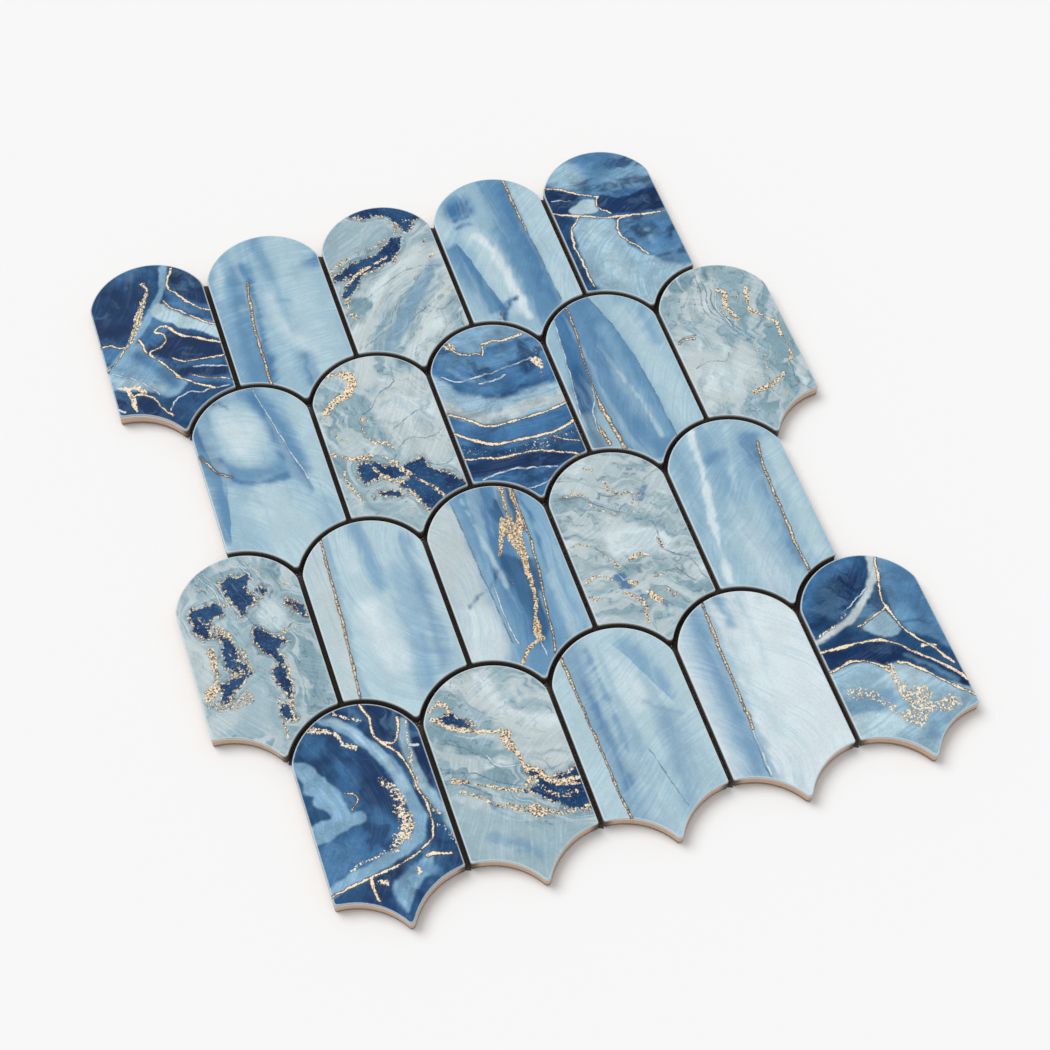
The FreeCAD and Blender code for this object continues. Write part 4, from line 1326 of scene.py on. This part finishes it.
class GlazeBoard(Board):
    """Satin glaze over white engobe and clay, painted from the tile's attributes."""

    def __init__(self, kind):
        super().__init__(kind["slot"])
        self.kind = kind
        self.spot = self.place()
        self.vein, self.thread, self.scratch = self.parts(self.attribute("glaze_lines"))
        self.patch, self.flecks, along = self.parts(self.attribute("glaze_patches"))
        away, around, layer = self.parts(self.attribute("glaze_brush"))
        self.rim, self.shade, seed = self.parts(self.attribute("glaze_edges"))
        self.strokes = self.noise(self.joined(away, self.times(around, 0.035), seed), 1.0)
        layers = self.joined(self.times(layer, kind["band_rate"]), self.times(along, kind["band_run"]), seed)
        self.bands = self.noise(layers, 1.0, 4.0, 0.55)
        self.smoke = self.noise(self.spot, 0.11, 5.0, 0.6)
        self.grain = self.noise(self.spot, 1.6, 3.0, 0.6)
        self.flake = self.noise(self.spot, 1.05, 4.0, 0.7)
        self.swell = self.sway(0.28, 2.0, 0.5)
        self.tatter = self.sway(0.4, 5.0, 0.7)
        self.jitter = self.sway(1.5, 3.0, 0.65)

    def sway(self, scale, detail, roughness):
        """Noise round 0."""
        return self.math("SUBTRACT", self.noise(self.spot, scale, detail, roughness), 0.5)

    def ragged(self, distance, amount):
        """A distance to a mark, with its edge made uneven by some millimetres."""
        return self.math("MULTIPLY_ADD", self.jitter, amount, distance)

    def marbling(self):
        """The painted tones with drifting bands, thin dark hairs and brush strokes."""
        kind = self.kind
        colour = self.attribute("glaze_tone", "Color")
        marbled = self.attribute("glaze_tone", "Alpha")
        for low, high, share, name in kind["bands"]:
            band = self.between(self.bands, low, high, 0, share)
            colour = self.coat(colour, self.times(band, marbled), name)
        hair = self.math("ABSOLUTE", self.math("SUBTRACT", self.bands, kind["hair_level"]))
        hair = self.times(self.between(hair, 0.02, 0.004), self.between(self.swell, -0.1, 0.06))
        colour = self.coat(colour, self.times(hair, self.times(marbled, kind["hair"])), "slate")
        level = self.math(
            "ADD", self.between(self.smoke, 0.3, 0.7, 1 - kind["smoke"], 1 + kind["smoke"]),
            self.between(self.grain, 0.3, 0.7, -kind["grain"], kind["grain"]),
        )
        colour = self.scaled(colour, level)
        brushed = self.between(self.parts(colour)[0], 0.03, 0.4, 0.15 * kind["strokes"], kind["strokes"])
        brushed = self.times(brushed, self.between(self.smoke, 0.4, 0.58, 0.2, 1))
        for full, name in ((0.62, "frost"), (0.38, kind["stroke_tone"])):
            colour = self.coat(colour, self.times(brushed, self.between(self.strokes, 0.5, full)), name)
        return colour

    def lustre(self):
        """Gold in flakes, bright ones and burnt ones."""
        flaked = self.noise(self.spot, 1.3, 2.0, 0.6)
        bright = self.kind["bright"]
        gold = self.coat(self.tone("lustre"), self.between(flaked, bright, bright + 0.16), "spark")
        return self.coat(gold, self.between(flaked, 0.46, 0.38, 0, self.kind["grit"]), "umber")

    def patches(self, colour, gold):
        """Navy patches in a crust of gold, and clouds of gold flecks. Returns the bare flecks too."""
        edge = self.math("MULTIPLY_ADD", self.tatter, 7.0, self.patch)
        pooled = self.coat(self.tone("deep"), self.between(self.smoke, 0.35, 0.65), "navy")
        pooled = self.coat(pooled, self.between(self.flake, 0.52, 0.68, 0, 0.45), "steel")
        reach = self.between(self.swell, -0.12, 0.12, 0.3, 2.2)
        crust = self.times(
            self.between(self.math("DIVIDE", edge, reach), 1.3, 0.1, 0, self.kind["crust"]),
            self.between(edge, -0.9, -0.3, 0, 0.9),
        )
        colour = self.coat(colour, self.times(crust, 0.75), "slate")
        colour = self.mix(self.between(edge, 0.12, -0.12), colour, pooled)
        density = self.math("MAXIMUM", self.flecks, crust)
        loose = self.math("SUBTRACT", self.flake, self.math("MULTIPLY_ADD", density, -0.42, 0.8))
        fleck = self.between(loose, 0.0, 0.025)
        burnt = self.times(self.between(loose, -0.06, -0.01), self.between(density, 0.55, 0.9, 0, 0.75))
        return self.mix(fleck, self.coat(colour, burnt, "umber"), gold), fleck

    def fine_lines(self, colour, gold):
        """The pale rim, white threads, dark scratches and gold veins. Returns the edge of the veins too."""
        dark = self.kind["line"]
        colour = self.coat(colour, self.between(self.ragged(self.rim, 0.4), 0.7, 0.3, 0, 0.65), "frost")
        edge = self.ragged(self.thread, 1.0)
        colour = self.coat(colour, self.between(edge, 0.55, 0.15, 0, 0.35), dark)
        share = self.times(self.between(edge, 0.1, -0.15), self.between(self.swell, -0.14, 0.06, 0.3, 0.9))
        colour = self.coat(colour, share, "frost")
        edge = self.ragged(self.scratch, 1.2)
        share = self.times(self.between(edge, 0.25, -0.12), self.between(self.swell, -0.12, 0.08, 0.25, 0.8))
        colour = self.coat(colour, share, dark)
        edge = self.ragged(self.math("MULTIPLY_ADD", self.swell, 0.8, self.vein), 1.3)
        colour = self.coat(colour, self.between(edge, 0.42, 0.1, 0, 0.85), "umber")
        return self.mix(self.between(edge, 0.0, -0.18), colour, gold), edge

    def fired_edge(self, colour):
        """The glaze's end, the engobe, the clay and painted shade: a dark line on the round of the glaze,
        darker clay towards the foot of the wall and darker walls in the joints. Returns the bare part too.
        """
        shape = bpy.context.scene.fish_scale_tile
        glazed = shape.edge_round / MM
        drop = self.math("SUBTRACT", shape.top / MM, self.parts(self.spot)[2])
        wobble = self.ragged(drop, 0.3)
        bare = self.between(wobble, glazed * 0.9, glazed * 1.1)
        clay = self.tone("clay")
        fired = self.mix(self.between(self.grain, 0.3, 0.7, 0, 0.4), clay, clay * 0.55)
        # Painted contact shade: the clay darkens towards the foot of the wall.
        fired = self.coat(fired, self.between(wobble, 3.6, 5.0, 0, 0.7), "umber")
        # Painted shade: a dark line on the round of the glazed edge.
        colour = self.coat(colour, self.between(wobble, glazed * 0.5, glazed * 0.9, 0, 0.7), "slate")
        colour = self.coat(colour, bare, "engobe")
        colour = self.mix(self.between(wobble, 1.1, 1.4), colour, fired)
        # Painted shade: the walls that face a joint darken below the glazed edge, the deeper the darker.
        return self.coat(colour, self.times(self.shade, self.between(drop, 0.4, 1.2, 0, 0.96)), "painted_shade"), bare

    def glazed(self):
        """The whole material."""
        gold = self.lustre()
        colour, fleck = self.patches(self.marbling(), gold)
        colour, vein_edge = self.fine_lines(colour, gold)
        colour, bare = self.fired_edge(colour)
        satin = self.between(self.grain, 0.2, 0.8, 0.36, 0.48)
        roughness = self.math("MAXIMUM", satin, self.times(bare, 0.8))
        relief = self.math("ADD", self.times(self.strokes, 0.07), self.times(self.grain, 0.02))
        relief = self.math("ADD", relief, self.between(vein_edge, 0.15, -0.25, 0, 0.12))
        relief = self.math("ADD", relief, self.times(fleck, 0.08))
        return self.finish(colour, roughness, 0.12, relief, MM)


# What sets the kinds of glaze apart. Rates are per millimetre and the grid is in millimetres. Each band
# names where it starts and is full, its share and its tone.

SKY_WASH = {
    "slot": "glaze_sky_wash", "grid": 0.75, "feather": 0.7, "mottle": 0.6, "fold": 0.4, "curl": 0.0,
    "band_rate": 0.15, "band_run": 0.012,
    "bands": ((0.5, 0.34, 0.24, "steel"), (0.5, 0.64, 0.34, "pale")),
    "hair_level": 0.5, "hair": 0.0, "smoke": 0.05, "grain": 0.05,
    "strokes": 0.15, "stroke_tone": "steel", "line": "slate",
    "grit": 0.9, "bright": 0.47, "crust": 1.0, "thin": 1.0,
}
TEAL_MARBLE = {
    "slot": "glaze_teal_marble", "grid": 0.6, "feather": 1.0, "mottle": 1.2, "fold": 1.6, "curl": 5.0,
    "band_rate": 0.16, "band_run": 0.035,
    "bands": ((0.5, 0.38, 0.7, "teal"), (0.4, 0.3, 0.6, "slate"), (0.5, 0.58, 0.7, "foam"),
              (0.6, 0.7, 0.8, "frost")),
    "hair_level": 0.47, "hair": 0.6, "smoke": 0.05, "grain": 0.05,
    "strokes": 0.2, "stroke_tone": "teal", "line": "slate",
    "grit": 1.0, "bright": 0.42, "crust": 0.85, "thin": 1.0,
}
NAVY_AGATE = {
    "slot": "glaze_navy_agate", "grid": 0.5, "feather": 0.2, "mottle": 0.5, "fold": 1.4, "curl": 5.0,
    "band_rate": 0.11, "band_run": 0.05,
    "bands": ((0.52, 0.36, 0.75, "deep"), (0.54, 0.66, 0.4, "steel")),
    "hair_level": 0.56, "hair": 0.2, "smoke": 0.2, "grain": 0.09,
    "strokes": 0.22, "stroke_tone": "cobalt", "line": "deep",
    "grit": 0.6, "bright": 0.31, "crust": 1.0, "thin": 0.75,
}


def fire_tiles(kind, tiles):
    """Builds the tiles of one kind of glaze."""
    material = GlazeBoard(kind).glazed()
    for node, (ground, seed, centre, layers, paint) in tiles.items():
        glaze = Glaze(kind, ground, seed, centre, layers)
        paint(glaze)
        tile = fired_tile(node, glaze, material, kind["grid"])
    return {"FINISHED"}


class FISHSCALE_OT_sky_tiles(Operator):
    """Fires the tiles with the sky wash glaze"""

    bl_idname = "fish_scale.sky_tiles"
    bl_label = "Sky Wash Tiles"

    def execute(self, context):
        return fire_tiles(SKY_WASH, SKY_TILES)


class FISHSCALE_OT_teal_tiles(Operator):
    """Fires the tiles with the teal marble glaze"""

    bl_idname = "fish_scale.teal_tiles"
    bl_label = "Teal Marble Tiles"

    def execute(self, context):
        return fire_tiles(TEAL_MARBLE, TEAL_TILES)


class FISHSCALE_OT_navy_tiles(Operator):
    """Fires the tiles with the navy agate glaze"""

    bl_idname = "fish_scale.navy_tiles"
    bl_label = "Navy Agate Tiles"

    def execute(self, context):
        return fire_tiles(NAVY_AGATE, NAVY_TILES)


def fibre_material():
    """Coated glass fibre, with painted shade on the strips in the joints where the mesh says so."""
    board = Board("net_glass_fibre")
    twist = board.noise(board.place(), 2.5)
    colour = board.coat(board.tone("fibre"), board.between(twist, 0.3, 0.7, 0, 0.35), "umber")
    # The strips in the joints take the painted shade colour instead of the fibre.
    colour = board.coat(colour, board.attribute("shade_film", "Fac"), "painted_shade")
    return board.finish(colour, 0.8, 0.05, twist, 0.04 * MM)


def strand_tree(material):
    """Geometry Nodes tree: strands across and along a rectangle, as one mesh."""
    tree = bpy.data.node_groups.new("woven_strands", "GeometryNodeTree")
    for kind, names in {
        "NodeSocketVector": ("Corner",), "NodeSocketFloat": ("Width", "Length", "Strand", "Height"),
        "NodeSocketInt": ("Across", "Along", "Sides"),
    }.items():
        for name in names:
            tree.interface.new_socket(name, in_out="INPUT", socket_type=kind)
    tree.interface.new_socket("Net", in_out="OUTPUT", socket_type="NodeSocketGeometry")
    given = tree.nodes.new("NodeGroupInput").outputs

    def triple(*values):
        return added(tree, "ShaderNodeCombineXYZ", dict(enumerate(values)))[0]

    section = added(tree, "GeometryNodeCurvePrimitiveCircle", {"Resolution": given["Sides"], "Radius": 0.5})
    section = added(tree, "GeometryNodeTransform", {
        "Geometry": section["Curve"], "Scale": triple(given["Strand"], given["Height"], 1),
    })
    join = tree.nodes.new("GeometryNodeJoinGeometry")
    for reach, spread, count, along in (
        (given["Width"], given["Length"], given["Along"], False),
        (given["Length"], given["Width"], given["Across"], True),
    ):
        strand = added(tree, "GeometryNodeCurvePrimitiveLine", {
            "End": triple(0, reach, 0) if along else triple(reach, 0, 0),
        })
        solid = added(tree, "GeometryNodeCurveToMesh", {
            "Curve": strand["Curve"], "Profile Curve": section["Geometry"], "Fill Caps": True,
        })
        gaps = added(tree, "ShaderNodeMath", {0: count, 1: 1}, operation="SUBTRACT")[0]
        gap = added(tree, "ShaderNodeMath", {0: spread, 1: gaps}, operation="DIVIDE")[0]
        line = added(tree, "GeometryNodeMeshLine", {
            "Count": count, "Offset": triple(gap, 0, 0) if along else triple(0, gap, 0),
        }, mode="OFFSET")
        copies = added(tree, "GeometryNodeInstanceOnPoints", {
            "Points": line["Mesh"], "Instance": solid["Mesh"],
        })
        tree.links.new(copies["Instances"], join.inputs["Geometry"])
    moved = added(tree, "GeometryNodeTransform", {
        "Geometry": join.outputs["Geometry"], "Translation": given["Corner"],
    })
    real = added(tree, "GeometryNodeRealizeInstances", {"Geometry": moved["Geometry"]})
    coated = added(tree, "GeometryNodeSetMaterial", {"Geometry": real["Geometry"], "Material": material})
    added(tree, "NodeGroupOutput", {"Net": coated["Geometry"]})
    return tree


def woven_band(tree, low, high):
    """Plain mesh of one rectangle of the net."""
    net = bpy.context.scene.fish_scale_net
    width, reach = high[0] - low[0], high[1] - low[1]
    holder = bpy.data.objects.new("net_band", bpy.data.meshes.new("net_band"))
    bpy.context.scene.collection.objects.link(holder)
    modifier = holder.modifiers.new("Strands", "NODES")
    modifier.node_group = tree
    thickness = NET_HIGH.z - NET_LOW.z
    values = {
        "Corner": (low[0], low[1], 0.4 * thickness), "Width": width, "Length": reach,
        "Across": round(width / net.pitch_across) + 1, "Along": round(reach / net.pitch_along) + 1,
        "Strand": net.strand, "Height": 0.8 * thickness, "Sides": net.rounding,
    }
    for item in tree.interface.items_tree:
        if item.in_out == "INPUT":
            modifier[item.identifier] = values[item.name]
    bpy.context.view_layer.update()
    ready = holder.evaluated_get(bpy.context.evaluated_depsgraph_get())
    mesh = bpy.data.meshes.new_from_object(ready)
    bpy.data.objects.remove(holder)
    return mesh


def joint_films():
    """Closed dark strips on the net, one along each joint beside and before a tile, standing in as painted
    shade for the shade that falls into the joints.
    """
    shape = bpy.context.scene.fish_scale_tile
    net = bpy.context.scene.fish_scale_net
    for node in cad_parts:
        if not node.startswith("scale_tile"):
            continue
        outline = placed_outline(node)
        local = outline - head_centre(node)
        outer = inset(outline, -shape.joint_width / MM)
        feet = local[0, 1] - shape.corner_ease / MM / 2
        wanted = (joint_shade(node, outer, 1.2, 0.7) > 0.5) & (local[:, 1] > feet)
        wanted &= (local[:, 0] > 0) | (local[:, 1] > 0)
        row, column = node.split("_")[2:]
        top = (net.film_high - net.film_step * ((int(row) + int(column)) % 4)) / MM
        turns = np.flatnonzero(np.diff(np.concatenate([[False], wanted, [False]])))
        for first, last in zip(turns[::2], turns[1::2]):
            if last - first > 2:
                yield film_strip(outline[first:last], outer[first:last], net.film_low / MM, top)


def film_strip(near, far, low, high):
    """Closed strip between two lines and two heights, in millimetres."""
    rings = []
    for place, beyond in zip(near, far):
        rings.append([(*place, low), (*beyond, low), (*beyond, high), (*place, high)])
    vertices = [tuple(value * MM for value in corner) for ring in rings for corner in ring]
    faces = [(0, 1, 2, 3)]
    for step in range(len(rings) - 1):
        first = 4 * step
        faces += [(first + i, first + 4 + i, first + 4 + (i + 1) % 4, first + (i + 1) % 4) for i in range(4)]
    last = 4 * (len(rings) - 1)
    faces.append((last + 3, last + 2, last + 1, last))
    return vertices, faces


class FISHSCALE_OT_backing_net(Operator):
    """Weaves the net that the tiles are bonded to"""

    bl_idname = "fish_scale.backing_net"
    bl_label = "Backing Net"

    def execute(self, context):
        net = context.scene.fish_scale_net
        material = fibre_material()
        tree = strand_tree(material)
        edge = net.strand / 2
        low, high = (NET_LOW.x + edge, NET_LOW.y + edge), (NET_HIGH.x - edge, NET_HIGH.y - edge)
        across = (high[0] - low[0]) / net.steps_across
        along = (high[1] - low[1]) / net.steps_along
        bands = [((low[0] + across, low[1]), (high[0] - across, high[1]))]
        for row in range(ROWS):
            bottom = low[1] + net.steps_a_row * row * along
            left = high[0] - across if row % 2 == 0 else low[0]
            bands.append(((left, bottom), (left + across, bottom + net.steps_a_band * along)))
        meshes = [woven_band(tree, corner, far) for corner, far in bands]
        pieces = [
            ([tuple(vertex.co) for vertex in mesh.vertices], [face.vertices for face in mesh.polygons])
            for mesh in meshes
        ]
        vertices, faces, film = [], [], []
        for number, (places, loops) in enumerate([*pieces, *joint_films()]):
            faces += [tuple(len(vertices) + corner for corner in loop) for loop in loops]
            vertices += places
            film += [float(number >= len(pieces))] * len(places)
        joined = bpy.data.meshes.new("backing_net_woven")
        joined.from_pydata(vertices, [], faces)
        # 1 on the dark strips of painted shade in the joints, 0 on the strands.
        joined.attributes.new("shade_film", "FLOAT", "POINT").data.foreach_set("value", film)
        joined.materials.append(material)
        joined.shade_smooth()
        woven = bpy.data.objects.new("backing_net_woven", joined)
        context.scene.collection.objects.link(woven)
        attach(woven, "root")
        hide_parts("backing_net")
        return {"FINISHED"}


class FISHSCALE_OT_studio(Operator):
    """Sets up the floor, the light and the camera"""

    bl_idname = "fish_scale.studio"
    bl_label = "Studio"

    def execute(self, context):
        setup = context.scene.fish_scale_studio
        reach = setup.floor_reach
        mesh = bpy.data.meshes.new("studio_floor")
        corners = [(-reach, -reach, 0), (reach, -reach, 0), (reach, reach, 0), (-reach, reach, 0)]
        mesh.from_pydata(corners, [], [(0, 1, 2, 3)])
        mesh.materials.append(Board("studio_floor").finish(linear(setup.floor), 0.9, 0.0))
        floor = bpy.data.objects.new("studio_floor", mesh)
        context.scene.collection.objects.link(floor)

        world = bpy.data.worlds.new("daylight")
        context.scene.world = world
        world.use_nodes = True
        background = world.node_tree.nodes["Background"]
        background.inputs["Color"].default_value = (1, 1, 1, 1)
        background.inputs["Strength"].default_value = setup.daylight

        lamp = bpy.data.lights.new("window", "SUN")
        lamp.energy = setup.window
        lamp.angle = setup.window_spread
        window = bpy.data.objects.new("window", lamp)
        window.location = setup.window_place
        window.rotation_mode = "QUATERNION"
        window.rotation_quaternion = (-window.location).to_track_quat("-Z", "Y")
        context.scene.collection.objects.link(window)

        lens = bpy.data.cameras.new("camera")
        lens.lens = setup.lens
        lens.sensor_width = SENSOR
        camera = bpy.data.objects.new("camera", lens)
        camera.location = setup.camera_place
        sight = Vector(setup.camera_aim) - Vector(setup.camera_place)
        camera.rotation_mode = "QUATERNION"
        level = sight.to_track_quat("-Z", "Y")
        camera.rotation_quaternion = level @ Quaternion((0, 0, 1), setup.camera_roll)
        context.scene.collection.objects.link(camera)
        context.scene.camera = camera
        context.scene.view_settings.view_transform = "Standard"
        return {"FINISHED"}


class FISHSCALE_PT_sheet(Panel):
    """Lists the pieces of the sheet and their sizes"""

    bl_idname = "FISHSCALE_PT_sheet"
    bl_label = "Fish Scale Sheet"
    bl_space_type = "VIEW_3D"
    bl_region_type = "UI"
    bl_category = "Fish Scale"

    def draw(self, context):
        layout = self.layout
        for operator in OPERATORS:
            layout.operator(operator.bl_idname)
        for group in SETTINGS.values():
            settings = getattr(context.scene, group)
            box = layout.box()
            for name in settings.__annotations__:
                box.prop(settings, name)


SETTINGS = {
    TileShape: "fish_scale_tile",
    GlazeTones: "fish_scale_tones",
    NetShape: "fish_scale_net",
    StudioSetup: "fish_scale_studio",
}
OPERATORS = (
    FISHSCALE_OT_studio,
    FISHSCALE_OT_backing_net,
    FISHSCALE_OT_sky_tiles,
    FISHSCALE_OT_teal_tiles,
    FISHSCALE_OT_navy_tiles,
)


def register():
    """Adds the settings, the operators and the panel."""
    for group, name in SETTINGS.items():
        bpy.utils.register_class(group)
        setattr(bpy.types.Scene, name, PointerProperty(type=group))
    for item in (*OPERATORS, FISHSCALE_PT_sheet):
        bpy.utils.register_class(item)


def unregister():
    """Takes them out again."""
    for item in (FISHSCALE_PT_sheet, *reversed(OPERATORS)):
        bpy.utils.unregister_class(item)
    for group, name in SETTINGS.items():
        delattr(bpy.types.Scene, name)
        bpy.utils.unregister_class(group)


def main():
    """Adds the settings and builds the dressed scene."""
    register()
    bpy.ops.fish_scale.studio()
    bpy.ops.fish_scale.backing_net()
    bpy.ops.fish_scale.sky_tiles()
    bpy.ops.fish_scale.teal_tiles()
    bpy.ops.fish_scale.navy_tiles()


if __name__ == "__main__":
    main()
